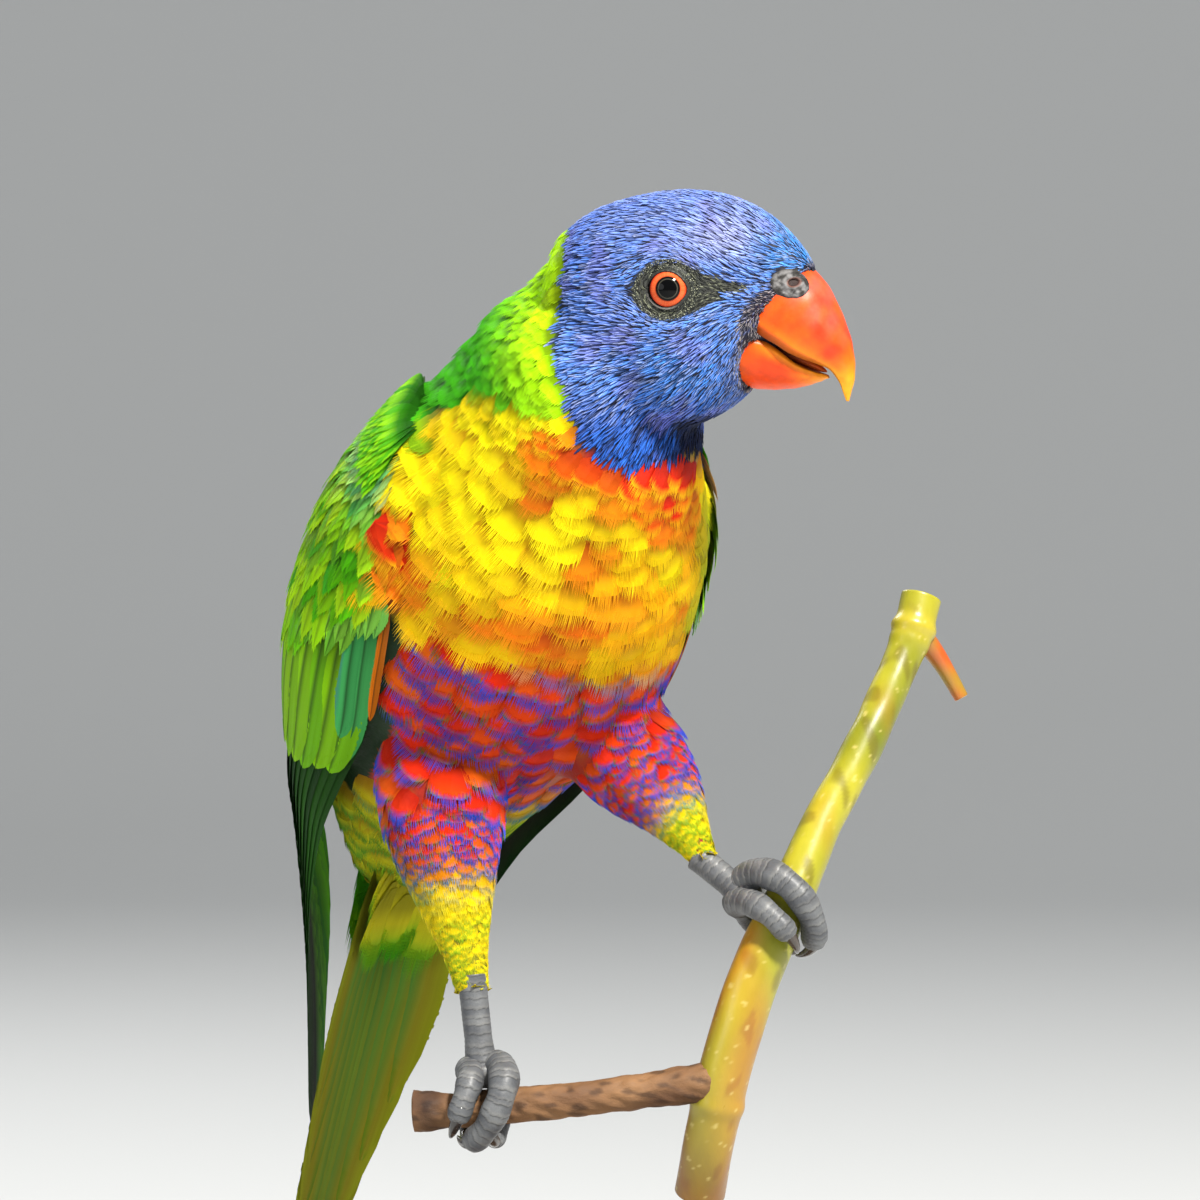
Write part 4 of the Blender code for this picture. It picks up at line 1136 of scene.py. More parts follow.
p, n = scatter(hood_keep, hood_spacing, 21, 130000)
hh = to_head(p)
sp = hood_spacing(p)
N = len(p)
rim = smooth(hood_depth(hh), 7.0, 2.0)
length = sp * (6.3 + 1.2 * smooth(hh[:, 2], -10, -22)) * rng.uniform(0.75, 1.25, N) * (1 - 0.25 * rim)
C, U, S = combed(p, n, length, 4, rise=(0.20 + 0.40 * smooth(sp, 0.34, 0.52) * (1 - 0.45 * rim)) * rng.uniform(0.5, 1.4, N), sink=0.12,
                 turn=0.12 * soft_noise(p, 2.4, 13) + rng.normal(0, 0.09, N))
hood_c = hood_colour(hh) * np.where(rng.uniform(size=N) < 0.20, 0.34, rng.uniform(0.66, 1.36, N))[:, None]
hood_pale = mix(hood_c, lin(190, 204, 255), np.where(rng.uniform(size=N) < 0.38, rng.uniform(0.45, 0.85, N), rng.uniform(0.05, 0.3, N)))
# no pale strokes low on the throat, nor in the painted shadow under the chin
hood_pale = mix(hood_pale, hood_c, np.maximum(smooth(hh[:, 2], -17, -22), throat_shade(hh[:, 0], hh[:, 2])))
# the tufts' flanks: their darker base, with painted shade between the tufts
hood_base_and_shade = mix(hood_c * 0.28, lin(10, 14, 40), 0.4)


def hood_tint(v, s, who):
    mk = np.clip(s.mark, 0, 1)[None, :, None]
    tt = s.t[None, :, None]
    c = mix(hood_base_and_shade[who][:, None], hood_c[who][:, None], mk[..., 0])
    c = mix(c, hood_pale[who][:, None], (mk * smooth(tt, 0.3, 0.95) * 0.9)[..., 0])
    # darker towards the root: painted shade under the tufts that lie over it
    return c * (0.40 + 0.60 * smooth(tt, 0.05, 0.55))


SLIVERS = [sliver(((0.0, 0.5), (0.3, 0.95), (0.7, 1.0), (0.9, 0.62), (1.0, 0.0)), 0.30), sliver(((0.0, 0.4), (0.32, 0.9), (0.60, 1.0), (0.84, 0.62), (1.0, 0.0)), 0.36)]
parts = laid(SLIVERS, rng.integers(0, 2, N), C, U, S, sp * rng.uniform(0.36, 0.58, N), 1.0, np.full(N, 0.10), zs=sp * 0.6)
hood_mat = plumage("blue_hood_feather", 0.54, (9, 0, 0.05), (1.5, 2.0, 0.35), 0.16, 0.04, 0.1)
coat("hood_feathers", parts, hood_tint, uv_head(p), hood_mat)


def face_keep(p, n):
    h = to_head(p)
    near = np.hypot(h[:, 0] - EYE_AT[0], h[:, 2] - EYE_AT[2])
    patch = (bill_gap(h) > 0.2) & (eye_patch(h) >= 0.3) & ((near > 3.7) | (np.abs(h[:, 1]) < 6))
    bristles = (bill_gap(h) < 0.9 + 1.15 * bristle_band(h)) & (bill_gap(h) > -0.15) & (h[:, 2] < 9.0) & (h[:, 2] > -16)
    return (hood_depth(h) > 2) & ~cere_zone(h) & (patch | bristles)


p, n = scatter(face_keep, lambda p: np.full(len(p), 0.30), 22, 26000)
hh = to_head(p)
N = len(p)
C, U, S = combed(p, n, rng.uniform(0.7, 1.15, N), 4, rise=rng.uniform(0.08, 0.25, N), sink=0.06, turn=rng.normal(0, 0.25, N))
pick_c = rng.uniform(size=N)
face_c = np.where((pick_c < 0.5)[:, None], lin(38, 40, 38), np.where((pick_c < 0.82)[:, None], lin(84, 86, 74), lin(142, 146, 122)))
face_c = mix(face_c, hood_colour(hh) * 0.7, 0.55 * smooth(eye_patch(hh), 0.9, 0.3))
by_bill = smooth(bill_gap(hh) - 1.2 * bristle_band(hh), 1.4, 0.2)
face_c = mix(face_c, np.where((rng.uniform(size=N) < 0.55)[:, None], lin(70, 62, 60), lin(158, 146, 142)), 0.85 * by_bill)
face_c = mix(face_c, lin(64, 84, 150), 0.6 * by_bill * (rng.uniform(size=N) < 0.22))


def face_tint(v, s, who):
    mk = np.clip(s.mark, 0, 1)[None, :, None]
    # darker flanks and roots: painted shade between and under the bristles
    return face_c[who][:, None] * (0.45 + 0.55 * mk) * (0.6 + 0.4 * smooth(s.t[None, :, None], 0.1, 0.7))


parts = laid([sliver(((0.0, 0.6), (0.45, 1.0), (0.8, 0.7), (1.0, 0.0)), 0.5)], np.zeros(N, int), C, U, S, rng.uniform(0.085, 0.15, N), 1.0, np.full(N, 0.1), zs=0.2)
face_mat = plumage("grey_face_feather", 0.5, (6, 0, 0.05), (1.5, 2.0, 0.3), 0.35, 0.1, 0.1)
coat("face_feathers", parts, face_tint, uv_head(p), face_mat)

# ------------------------------------------------------------------ body feathers
def loose(p):
    """Where soft body feathers may grow."""
    h = to_head(p)
    return (hood_depth(h) < 2.6) & ~on_wing(p, 1.0)


def green_keep(p, n):
    t, ang = spine_of(p)
    share, _, _ = leg_share(p)
    return loose(p) & (mantle_edge(p, t, ang) > 0) & (share < 0.5)


def breast_keep(p, n):
    t, ang = spine_of(p)
    share, _, _ = leg_share(p)
    return loose(p) & (mantle_edge(p, t, ang) <= 0) & (share < 0.5) & (t > 0.05)


def thigh_keep(p, n):
    share, _, down = leg_share(p)
    return loose(p) & (share >= 0.5) & (down < 0.99)


PLUMES = [plume(s, 40, fine=0.019) for s in (1, 2, 3)]
FINE_PLUMES = [plume(s, 15, fringe=0.24, fine=0.045) for s in (4, 5, 6)]
body_mat = plumage("breast_feather", 0.6, (42, 30, 0.28), (2.4, 1.0, 0.22), 0.12, 0.0, 0.5)
green_mat = plumage("green_feather", 0.6, (28, 15, 0.28), (2.6, 1.0, 0.30), 0.08, 0.0, 0.45)


def feathers(name, keep, spacing, seed, tries, size, half, rise, shapes, mat, replaces=(), colour=None, turn=0.09, steps=5, shade_hue=(1.0, 1.0, 1.0)):
    p, n = scatter(keep, spacing, seed, tries)
    N = len(p)
    r = np.random.default_rng(seed + 100)
    length = size(p) * r.uniform(0.9, 1.12, N)
    reach = 1.22
    C, U, S = combed(p, n, length, steps, rise=rise(p) * r.uniform(0.8, 1.2, N), reach=reach, sink=0.25, turn=r.normal(0, turn, N))
    if name != "mantle_feathers":  # none breaks through a wing
        over = on_wing(C[:, -1], 3.0, 0.90) | on_wing(C[:, -2], 3.0, 0.90) | on_wing(C[:, -3], 4.0, 0.90)
        clear = ~(over & (C[:, -1, 2] < np.where(p[:, 0] < 0, -5.0, 12.0)))
        p, n, C, U, S = p[clear], n[clear], C[clear], U[clear], S[clear]
        N = len(p)
    show_at = C[:, int(round(steps * 0.72))]
    tt, ang = spine_of(show_at)
    a, b, th, low, up = body_colour(show_at, tt, ang)
    if colour:
        a, b, th, low, up = colour(show_at, p, a, b, th, low, up)
    gain = r.uniform(0.86, 1.14, N)[:, None]
    a, b = a * gain, b * gain
    th = th + r.normal(0, 0.02, N)
    hue = r.uniform(size=N)

    def tint(v, s, who):
        t = s.t[None, :]
        barb = (s.mark >= 1.99)[None, :]
        edge = np.abs(s.x)[None, :]
        line = th[who][:, None] - 0.10 * edge**2
        f = smooth(t, line - 0.03, line + 0.03)
        c = mix(a[who][:, None], b[who][:, None], f)
        lw = low[who][:, None]
        c = mix(c, lin(70, 136, 30), 0.85 * lw * np.exp(-(((t - line) / 0.030) ** 2)))
        c = mix(c, lin(176, 104, 150), 0.35 * lw * smooth(t, 0.98, 1.12) * (hue[who][:, None] > 0.6))
        c = mix(c, c * 1.18 + 0.01, barb * (1 - lw))
        # painted shade: darker towards the root, under the feather that lies over it, and a little at the edges; the
        # power per channel turns this shade orange-brown on yellow and red feathers
        dark = (0.38 + 0.62 * smooth(t, 0.28, 0.70)) * (1 - 0.20 * smooth(edge, 0.55, 1.0) * (1 - barb))
        return c * dark[..., None] ** np.array(shade_hue)

    parts = laid(shapes, r.integers(0, len(shapes), N), C, U, S, half(p) * r.uniform(0.9, 1.1, N), reach, np.full(N, 0.14), zs=half(p) / 3.7)
    return coat(name, parts, tint, uv_body(p), mat, replaces)


def green_size(p):
    hd = hood_depth(to_head(p))
    return 6.0 + 3.2 * smooth(hd, -4, -26)


feathers("mantle_feathers", green_keep, lambda p: green_size(p) * 0.29, 31, 22000, green_size, lambda p: green_size(p) * 0.27,
         lambda p: 1.05 + 0.05 * smooth(green_size(p), 6, 9), FINE_PLUMES, green_mat)


def breast_size(p):
    hd = hood_depth(to_head(p))
    share, _, _ = leg_share(p)
    return (8.2 + 2.8 * smooth(hd, -2, -16)) * (1 - 0.40 * smooth(share, 0.01, 0.35)) * (1 - 0.12 * smooth(p[:, 2], -14, -24))


# breast feathers, whose painted shade at the roots turns orange-brown
feathers("breast_feathers", breast_keep, lambda p: breast_size(p) * (0.335 + 0.075 * smooth(p[:, 2], -6, -14)), 32, 26000, breast_size, lambda p: breast_size(p) * 0.385,
         lambda p: 0.7 + 0.55 * smooth(breast_size(p), 6.0, 10), PLUMES, body_mat, shade_hue=(0.55, 1.1, 1.5))


def thigh_size(p):
    _, _, down = leg_share(p)
    return 6.2 - 2.9 * smooth(down, 0.30, 0.97)


def thigh_colour(q, p, a, b, th, low, up):
    _, _, down = leg_share(p)
    edge = soft_noise(q, 9.0, 8)
    w = smooth(down, 0.42, 0.62)
    left = (p[:, 0] > 0)
    a = mix(a, mix(YELLOW, ORANGE, 0.15), w)
    b = mix(b, mix(lin(222, 208, 20), GREEN, 0.62 * smooth(edge, -0.1, 0.7)), w)
    return a, b, th, low * (1 - w), up * 0


feathers("thigh_feathers", thigh_keep, lambda p: thigh_size(p) * 0.27, 33, 18000, thigh_size, lambda p: thigh_size(p) * 0.30,
         lambda p: 0.35 + 0.4 * smooth(thigh_size(p), 3.4, 6.2), FINE_PLUMES, body_mat, colour=thigh_colour)

# ------------------------------------------------------------------ wings
ts = np.linspace(0, 1, 401)
mid_line = wing_place(1, ts, 0.5)[0]
WING_S = np.concatenate([[0], np.cumsum(np.linalg.norm(np.diff(at(WING, ts)[:, :3], axis=0), axis=1))])
WING_L = float(WING_S[-1])


def wing_t(s):
    return np.interp(s, WING_S, ts)


def wing_uv(side, s, f):
    u = 0.02 + 0.22 * np.asarray(f, float) + (0.25 if side > 0 else 0.0)
    return np.stack(np.broadcast_arrays(u, 0.02 + 0.96 * np.asarray(s, float) / WING_L), -1)


def wing_lines(side, s0, f0, s1, f1, lift0, lift1, steps, reach=1.0, bow=0.0):
    """Centre lines on the wing's face from (s0, f0) to (s1, f1), in mm along it and share across it."""
    k = np.linspace(0, reach, steps + 1)[None, :]
    s = s0[:, None] + (s1 - s0)[:, None] * k
    f = f0[:, None] + (f1 - f0)[:, None] * k + bow * np.sin(np.clip(k, 0, 1) * math.pi)
    lift = lift0[:, None] + (lift1 - lift0)[:, None] * np.minimum(k, 1.1) ** 0.7
    C, U = wing_place(side, wing_t(s), np.clip(f, -0.06, 1.04), lift)
    W = unit(np.gradient(C, axis=1))
    U = unit(U - W * dot(U, W))
    return C, U, np.cross(W, U)


COVERT = ((0.0, 0.4), (0.2, 0.85), (0.42, 1.0), (0.62, 0.90), (0.78, 0.66), (0.90, 0.38), (1.0, 0.10))
BLADE = tuple((t, float(np.interp(t, [0, 0.06, 0.2, 0.55, 0.8, 0.92, 0.97, 1.0], [0.3, 0.6, 0.9, 1.0, 0.92, 0.66, 0.42, 0.14]))) for t in np.linspace(0, 1, 22))
POINTED = tuple((t, float(np.interp(t, [0, 0.06, 0.25, 0.6, 0.8, 0.92, 1.0], [0.35, 0.6, 0.95, 1.0, 0.82, 0.48, 0.08]))) for t in np.linspace(0, 1, 26))


def covert(seed, outline=COVERT, cols=7, barbs=16, fringe=0.12):
    """A firm feather with a raised shaft, whose rim is slightly frayed."""
    r = np.random.default_rng(seed)
    s = Shape()
    vane(outline, cols, 0.14, 0.07, s)
    to, wo = np.array(outline).T
    for b in range(barbs):
        v = (b + 0.5) / barbs * 2 - 1
        side, a = math.copysign(1, v), abs(v)
        t0 = 0.985 - 0.5 * a**1.6 + r.uniform(-0.01, 0.01)
        w0 = float(np.interp(t0, to, wo)) * min(1.0, a * 1.5 + 0.02)
        length = fringe * r.uniform(0.5, 1.2)
        rows = [(side * (w0 + 0.9 * length * f), t0 + length * f, 0.0, w, 0.05 * w / 0.05) for f, w in ((-0.6, 0.06), (0.5, 0.045), (1.0, 0.0))]
        s.prism(rows, 2.0)
    return s.ready()


COVERTS = [covert(s) for s in (1, 2, 3)]
wing_mat = plumage("wing_feather", 0.50, (34, 14, 0.26), (3.2, 0.9, 0.40), 0.10, 0.0, 0.6)
PEACH = lin(236, 150, 96)


def arc_at(side, s):
    q, _ = wing_place(side, np.full(41, wing_t(s)), np.linspace(0, 1, 41))
    return float(np.linalg.norm(np.diff(q, axis=0), axis=1).sum())


def wing_rows(side, r):
    """Every covert of one wing: s, f, length, half width, lifts and which sort."""
    out = []
    s = 0.6
    row = 0
    while s < 36:
        arc = arc_at(side, s)
        kind = 0 if s < 22 else (1 if s < 29 else 2)
        size = np.interp(s, [0, 8, 20, 27, 36], [4.4, 6.2, 8.6, 12.5, 17.0])
        half = np.interp(s, [0, 8, 20, 27, 36], [1.1, 1.5, 2.1, 2.6, 2.9])
        gap = half * 1.15
        n = max(3, int(arc / gap))
        for j in range(n):
            f = (j + 0.5 * (row % 2) + 0.25) / n + r.normal(0, 0.2) / n
            lowest = lap(wing_t(s)) * (1.0 if side < 0 else 0.3) / (at(WING, wing_t(s))[6] - at(WING, wing_t(s))[5]) - 0.02
            ends_at = np.interp(f, [0.0, 0.12, 0.24, 0.5], [30.0, 32.0, 40.0, 56.0])
            if f > lowest and s + size < ends_at:
                out.append((s + r.normal(0, 0.5), np.clip(f, 0.005, 0.995), size * r.uniform(0.9, 1.15), half * r.uniform(0.85, 1.08), kind))
        s += np.interp(s, [0, 10, 20, 26, 36], [1.55, 2.1, 2.7, 3.3, 4.0])
        row += 1
    return np.array(out)


def wing_colour(q, s, f, r):
    """Base and tip colours on the wing's face."""
    n = len(s)
    one = soft_noise(q, 7.0, 12)
    g = mix(lin(92, 206, 2), lin(196, 255, 12), np.clip(0.5 + 0.45 * one + r.normal(0, 0.26, n), 0, 1))
    g = mix(g, lin(222, 255, 30), 0.5 * (r.uniform(size=n) < 0.20))
    g = mix(g, lin(30, 150, 50), 0.5 * (r.uniform(size=n) < 0.14))
    # pale mint on the wing's bend: a painted sheen
    g = mix(g, lin(150, 216, 186), 0.7 * np.exp(-(((s - 8) / 5) ** 2)) * (0.35 + 0.65 * smooth(f, 0.1, 0.4)))
    low = lap(wing_t(s)) / 95.0
    edge = smooth(f - low, 0.10, 0.04) * smooth(s, 60, 48)
    g = mix(g, mix(PEACH, lin(240, 196, 150), r.uniform(0, 1, n)), edge * smooth(s, 12, 6))
    g = mix(g, lin(226, 110, 16), 0.5 * edge * smooth(s, 36, 44))
    # the base, darker than the tip, carries painted shade under the covert above
    return g * 0.55, g


for side, name in ((1, "wing_left"), (-1, "wing_right")):
    r = np.random.default_rng(50 + side)
    rows = wing_rows(side, r)
    s0, f0, size, half, kind = rows.T
    N = len(rows)
    drift = -0.015 - 0.05 * (f0 - 0.5) + r.normal(0, 0.012, N)
    lift0 = -1.25 - 0.35 * (kind > 0)
    lift1 = np.where(kind == 0, r.uniform(-0.22, 0.12, N), np.where(kind == 1, -0.30, -0.45)) + r.uniform(-0.1, 0.1, N)
    C, U, S = wing_lines(side, s0, f0, s0 + size, f0 + drift, lift0, lift1, 6, 1.08)
    a, b = wing_colour(C[:, 4], s0 + size * 0.7, f0, r)
    shade = r.uniform(0.8, 1.2, N)[:, None]

    def tint(v, s, who):
        t = s.t[None, :]
        edge = np.abs(s.x)[None, :]
        c = mix(a[who][:, None], b[who][:, None], smooth(t, 0.25, 0.7))
        c = mix(c, c * 0.5, (0.8 * smooth(edge, 0.05, 0.0) * (t < 0.93))[..., None] * np.ones((len(who), 1, 1)))
        c = mix(c, c * 1.25 + 0.015, (smooth(edge, 0.6, 0.95) * smooth(t, 0.5, 0.8))[..., None] * np.ones((len(who), 1, 1)))
        # darker towards the root: painted shade under the covert above
        return c * (0.46 + 0.54 * smooth(t, 0.15, 0.55))[..., None] * shade[who][:, None]

    parts = laid(COVERTS, r.integers(0, 3, N), C, U, S, half, 1.08, np.full(N, 0.10), zs=half / 2.6)
    coat(name + "_coverts", parts, tint, wing_uv(side, s0, f0), wing_mat, (name,))


def big(name, shapes, pick, C, U, S, half, reach, camber, tint, mat, replaces=(), zs=1.0):
    """Long feathers, each with its own strip in the map."""
    return coat(name, laid(shapes, pick, C, U, S, half, reach, camber, zs), tint, None, mat, replaces, strips=True)


QUILL = covert(9, BLADE, 9, 26, 0.018)
QUILL_POINTED = covert(10, POINTED, 9, 26, 0.012)
quill_mat = plumage("flight_feather", 0.50, (90, 34, 0.22), (4.0, 0.8, 0.34), 0.08, 0.0, 0.6)


def quill_tint(a, b, rim, shaft, dark_side=0.0, under=None):
    """a near the shaft, b on the vanes, rim on one edge."""
    def tint(v, s, who):
        t = s.t[None, :]
        x = s.x[None, :]
        side = np.sign(dark_side[who][:, None]) if np.ndim(dark_side) else 1.0
        c = mix(b[who][:, None], a[who][:, None], smooth(x * side, -0.15, 0.25))
        c = mix(c, rim[who][:, None], 0.85 * smooth(x * side, -0.55, -0.85))
        c = mix(c, shaft, 0.75 * smooth(np.abs(x), 0.05, 0.0) * np.ones((len(who), 1)))
        if under is not None:
            c = mix(c, under, 0.85 * (s.z < -0.05)[None, :] * np.ones((len(who), 1)))
        # darker towards the root: painted shade under the feathers that lie over it
        return c * (0.45 + 0.55 * smooth(t, 0.10, 0.45))[..., None]
    return tint


for side, name in ((1, "wing_left"), (-1, "wing_right")):
    r = np.random.default_rng(70 + side)
    # secondaries: from the lowest, which lies deepest, to the innermost ones on top by the back
    n = 18
    k = np.arange(n) / (n - 1)
    s0 = 33 - 5 * k
    j = (np.arange(n) - 3) / (n - 4)
    f1 = 0.055 + 0.90 * j**1.05
    f0 = f1 + 0.05 * (1 - j)
    s1 = np.interp(f1, [0.04, 0.1, 0.2, 0.3, 0.6, 1.0], [63.0, 65.0, 67.5, 69.5, 69.0, 66.5]) + r.uniform(-1.6, 1.2, n)
    s0[:3], s1[:3] = (22, 22, 22), (47.0, 60.0, 54.5)
    f0[:3], f1[:3] = (0.022, 0.085, 0.12), (0.016, 0.03, 0.075)
    wide = 3.7 * (1 - 0.05 * k) * r.uniform(0.85, 1.05, n)
    wide[:3] = 1.0, 2.3, 2.5
    lift1 = -1.10 + 0.75 * k
    lift1[:3] = -1.25, -1.10, -0.95
    C, U, S = wing_lines(side, s0, f0, s1, f1, np.full(n, -1.25) + 0.2 * k, lift1, 22, 1.03, bow=0.01)
    g = mix(lin(120, 214, 2), lin(186, 252, 8), r.uniform(0.1, 1.0, n))
    teal = np.isin(np.arange(n), (1, 2))
    g = mix(g, lin(64, 196, 112), 0.9 * teal)
    g = mix(g, lin(244, 120, 16), 0.97 * (np.arange(n) == 0))
    rim = mix(mix(g, lin(200, 250, 40), 0.7), lin(24, 120, 168), 0.8 * teal)
    rim[0] = lin(244, 150, 40)
    inner = mix(g * 0.8, lin(24, 80, 20), 0.15)
    big(name + "_secondaries", [QUILL], np.zeros(n, int), C, U, S, wide, 1.03, np.full(n, 0.10),
        quill_tint(inner, g, rim, lin(20, 40, 14), np.full(n, float(side))), quill_mat)
    # greater coverts of the hand and the primaries, folded into a narrow stack that ends in the wing's tip
    n = 10
    k = np.arange(n) / (n - 1)
    s0 = 44 + 4 * k
    s1 = WING_L * (0.70 + 0.31 * k**0.8)
    f0, f1 = 0.30 - 0.26 * k, 0.62 - 0.34 * k
    C, U, S = wing_lines(side, s0, f0, np.minimum(s1, WING_L * 0.995), f1, np.full(n, -1.9), -1.5 + 0.064 * np.arange(n)[::-1], 26, 1.0, bow=-0.015)
    dark = mix(lin(26, 66, 24), lin(48, 108, 26), r.uniform(0, 1, n))
    green = mix(lin(50, 146, 26), lin(124, 208, 24), r.uniform(0, 1, n))
    big(name + "_primaries", [QUILL], np.zeros(n, int), C, U, S, np.full(n, 4.3), 1.0, np.full(n, 0.08),
        quill_tint(dark, mix(dark, green, 0.60), green * 1.5, lin(16, 14, 12), np.full(n, float(side)), lin(60, 58, 54)), quill_mat)
    n = 13
    k = np.arange(n) / (n - 1)
    s0 = 21 + 13 * k + r.uniform(-1.6, 1.6, n)
    C, U, S = wing_lines(side, s0, 0.045 + 0.27 * k, s0 + 10 + r.uniform(-1.5, 1.5, n), 0.05 + 0.27 * k, np.full(n, -1.4), r.uniform(-0.75, -0.45, n), 14, 1.02)
    g = mix(mix(lin(112, 222, 40), lin(186, 255, 40), r.uniform(0, 1, n)), lin(130, 226, 130), 0.6 * (1 - k) * r.uniform(0.4, 1, n))
    big(name + "_edge_coverts", [covert(12, COVERT, 7, 20, 0.05)], np.zeros(n, int), C, U, S, r.uniform(1.6, 2.0, n), 1.02, np.full(n, 0.12),
        quill_tint(g * 0.7, g, mix(lin(120, 220, 110), lin(90, 190, 150), k), lin(30, 60, 16), np.full(n, float(side))), quill_mat)

# ------------------------------------------------------------------ tail
TAIL_ROOT, TAIL_WAY = np.array(TAIL_ROOT), unit(TAIL_WAY)
TAIL_UP = np.array([0.0, -TAIL_WAY[2], TAIL_WAY[1]])
TAIL_UP = TAIL_UP * (1 if TAIL_UP[2] > 0 else -1)
TS = np.array(TAIL)


def tail_lines(s0, s1, off, z0, z1, steps, reach=1.0):
    """Centre lines along the tail: off is each feather's place across it as a share of its half width."""
    k = np.linspace(0, reach, steps + 1)[None, :]
    s = s0[:, None] + (s1 - s0)[:, None] * k
    w = np.interp(s, TS[:, 0], TS[:, 1])
    th = np.interp(s, TS[:, 0], TS[:, 2])
    x = off[:, None] * w
    z = z0[:, None] + (z1 - z0)[:, None] * k
    C = TAIL_ROOT + TAIL_WAY * s[..., None] + np.array([1.0, 0, 0]) * x[..., None] + TAIL_UP * (z * th - 0.04 * x**2)[..., None]
    U = unit(TAIL_UP + np.array([1.0, 0, 0]) * (0.09 * x)[..., None])
    W = unit(np.gradient(C, axis=1))
    U = unit(U - W * dot(U, W))
    return C, U, np.cross(W, U)


i = np.arange(6)
lengths = np.repeat(123.0 - 13.0 * i, 2)
sides = np.tile([1.0, -1.0], 6)
pair = np.repeat(i, 2)
off = sides * (0.10 + 0.125 * pair)
C, U, S = tail_lines(np.full(12, 2.0), lengths * 0.985, off, 0.25 - 0.12 * pair, 0.30 - 0.10 * pair, 30)
g = mix(lin(34, 132, 28), lin(74, 160, 30), np.random.default_rng(3).uniform(0, 1, 12))
inner = mix(g * 0.7, lin(206, 196, 30), 0.55 * (pair >= 2))
half = np.array([4.4, 4.3, 4.1, 3.9, 3.7, 3.5])[pair]
big("tail_rectrices", [QUILL_POINTED], np.zeros(12, int), C, U, S, half, 1.0, np.full(12, 0.06),
    quill_tint(inner, g, mix(g * 1.2, lin(60, 150, 110), 0.3), lin(24, 46, 16), sides, lin(170, 160, 40)), quill_mat, ("tail",))


def tail_coverts(name, n, above, size, mat, tone):
    r = np.random.default_rng(n)
    rows = []
    for j in range(n):
        f = j / (n - 1)
        rows.append((-13 + 24 * f + r.normal(0, 0.8), r.uniform(-1, 1) * (1.0 - 0.35 * f), size * r.uniform(0.85, 1.1)))
    s0, off, length = np.array(rows).T
    up = 1.0 if above else -1.0
    zt = np.where(off**2 < 1, np.sqrt(np.maximum(0.05, 1 - off**2)), 0.2)
    C, U, S = tail_lines(s0, s0 + length, off * 0.8, up * (0.7 + 1.0 * zt), up * (0.75 + 0.5 * zt), 8, 1.05)
    U = U * up
    S = np.cross(unit(np.gradient(C, axis=1)), U)
    a, b = tone(r, n, s0)

    def tint(v, s, who):
        t = s.t[None, :]
        c = mix(a[who][:, None], b[who][:, None], smooth(t, 0.45, 0.8))
        # darker towards the root: painted shade under the feathers that lie over it
        return c * (0.4 + 0.6 * smooth(t, 0.1, 0.6))[..., None]

    uv = np.stack([0.5 + 0.4 * off * (1 if above else -1), 0.05 + 0.2 * (s0 + 15) / 30 + (0 if above else 0.5)], -1)
    coat(name, laid(PLUMES, r.integers(0, 3, n), C, U, S, np.full(n, 3.4) * r.uniform(0.85, 1.1, n), 1.05, np.full(n, 0.10)), tint, uv, mat)


tail_coverts("upper_tail_coverts", 60, True, 17.0, green_mat, lambda r, n, s: (np.tile(GREEN * 0.6, (n, 1)), mix(GREEN, LIME, r.uniform(0, 0.4, n))))
tail_coverts("under_tail_coverts", 70, False, 17.0, green_mat, lambda r, n, s: (np.tile(lin(214, 206, 26), (n, 1)), mix(GREEN, lin(120, 176, 30), r.uniform(0, 1, n))))

# ------------------------------------------------------------------ bill
def bill_mesh(name, table, upper, mat):
    rings, share, t = bill_part(table, upper)
    v, fs = lofted(rings)
    me = new_mesh(name, from_head(v), fs)
    sh = np.concatenate([share.ravel(), [0.5, 0.5]])
    tt = np.concatenate([np.repeat(t, rings.shape[1]), [0.0, 1.0]])
    n = soft_noise(v, 5.0, 20)
    fine = soft_noise(v * (1, 2.2, 1), 1.3, 21)
    if upper:
        c = mix(lin(224, 54, 8), lin(234, 84, 12), np.clip(0.5 + 0.6 * n + 0.3 * soft_noise(v, 2.0, 23), 0, 1))
        # pink by the ridge: a painted highlight
        c = mix(c, lin(232, 88, 74), 0.75 * smooth(sh, 0.62, 0.25) * smooth(tt, 0.75, 0.3) * np.clip(0.6 + 0.5 * soft_noise(v, 3.0, 22), 0, 1))
        c = mix(c, lin(250, 144, 8), smooth(sh, 0.66, 0.97) * (0.40 + 0.55 * smooth(tt, 0.2, 0.8)))
        c = mix(c, lin(252, 168, 20), 0.92 * smooth(tt, 0.58, 0.90))
        c = mix(c, lin(214, 70, 40), 0.6 * smooth(tt, 0.10, 0.0))
    else:
        c = mix(lin(222, 48, 0), lin(234, 78, 2), np.clip(0.5 + 0.6 * n, 0, 1))
        c = mix(c, lin(240, 104, 8), 0.6 * smooth(tt, 0.30, 0.05))
        c = mix(c, lin(252, 150, 6), 0.85 * smooth(tt, 0.52, 0.86))
        c = mix(c, lin(250, 150, 14), 0.9 * smooth(sh, 0.60, 0.95) * smooth(tt, 0.15, 0.5))
        c = mix(c, lin(250, 160, 30), 0.7 * smooth(tt, 0.75, 1.0))
    # the inner faces inside the mouth are painted dark red-brown: painted shade
    under = (sh > 0.995) & (tt < 0.9)
    c = mix(c, lin(90, 30, 16), 0.6 * under)
    c = c * (1 + 0.06 * fine[:, None])
    paint(me, np.clip(c, 0, 1))
    return show(name + "_horn", me, mat, (name,))


horn = painted("bill_horn_gloss", 0.44, 0.30, 1500.0, 0.14, 0.22, 0.00012, coat_w=0.08, coat_r=0.28, rough_var=0.16)
bill_mesh("bill_upper", UPPER, True, horn)
bill_mesh("bill_lower", LOWER, False, horn)

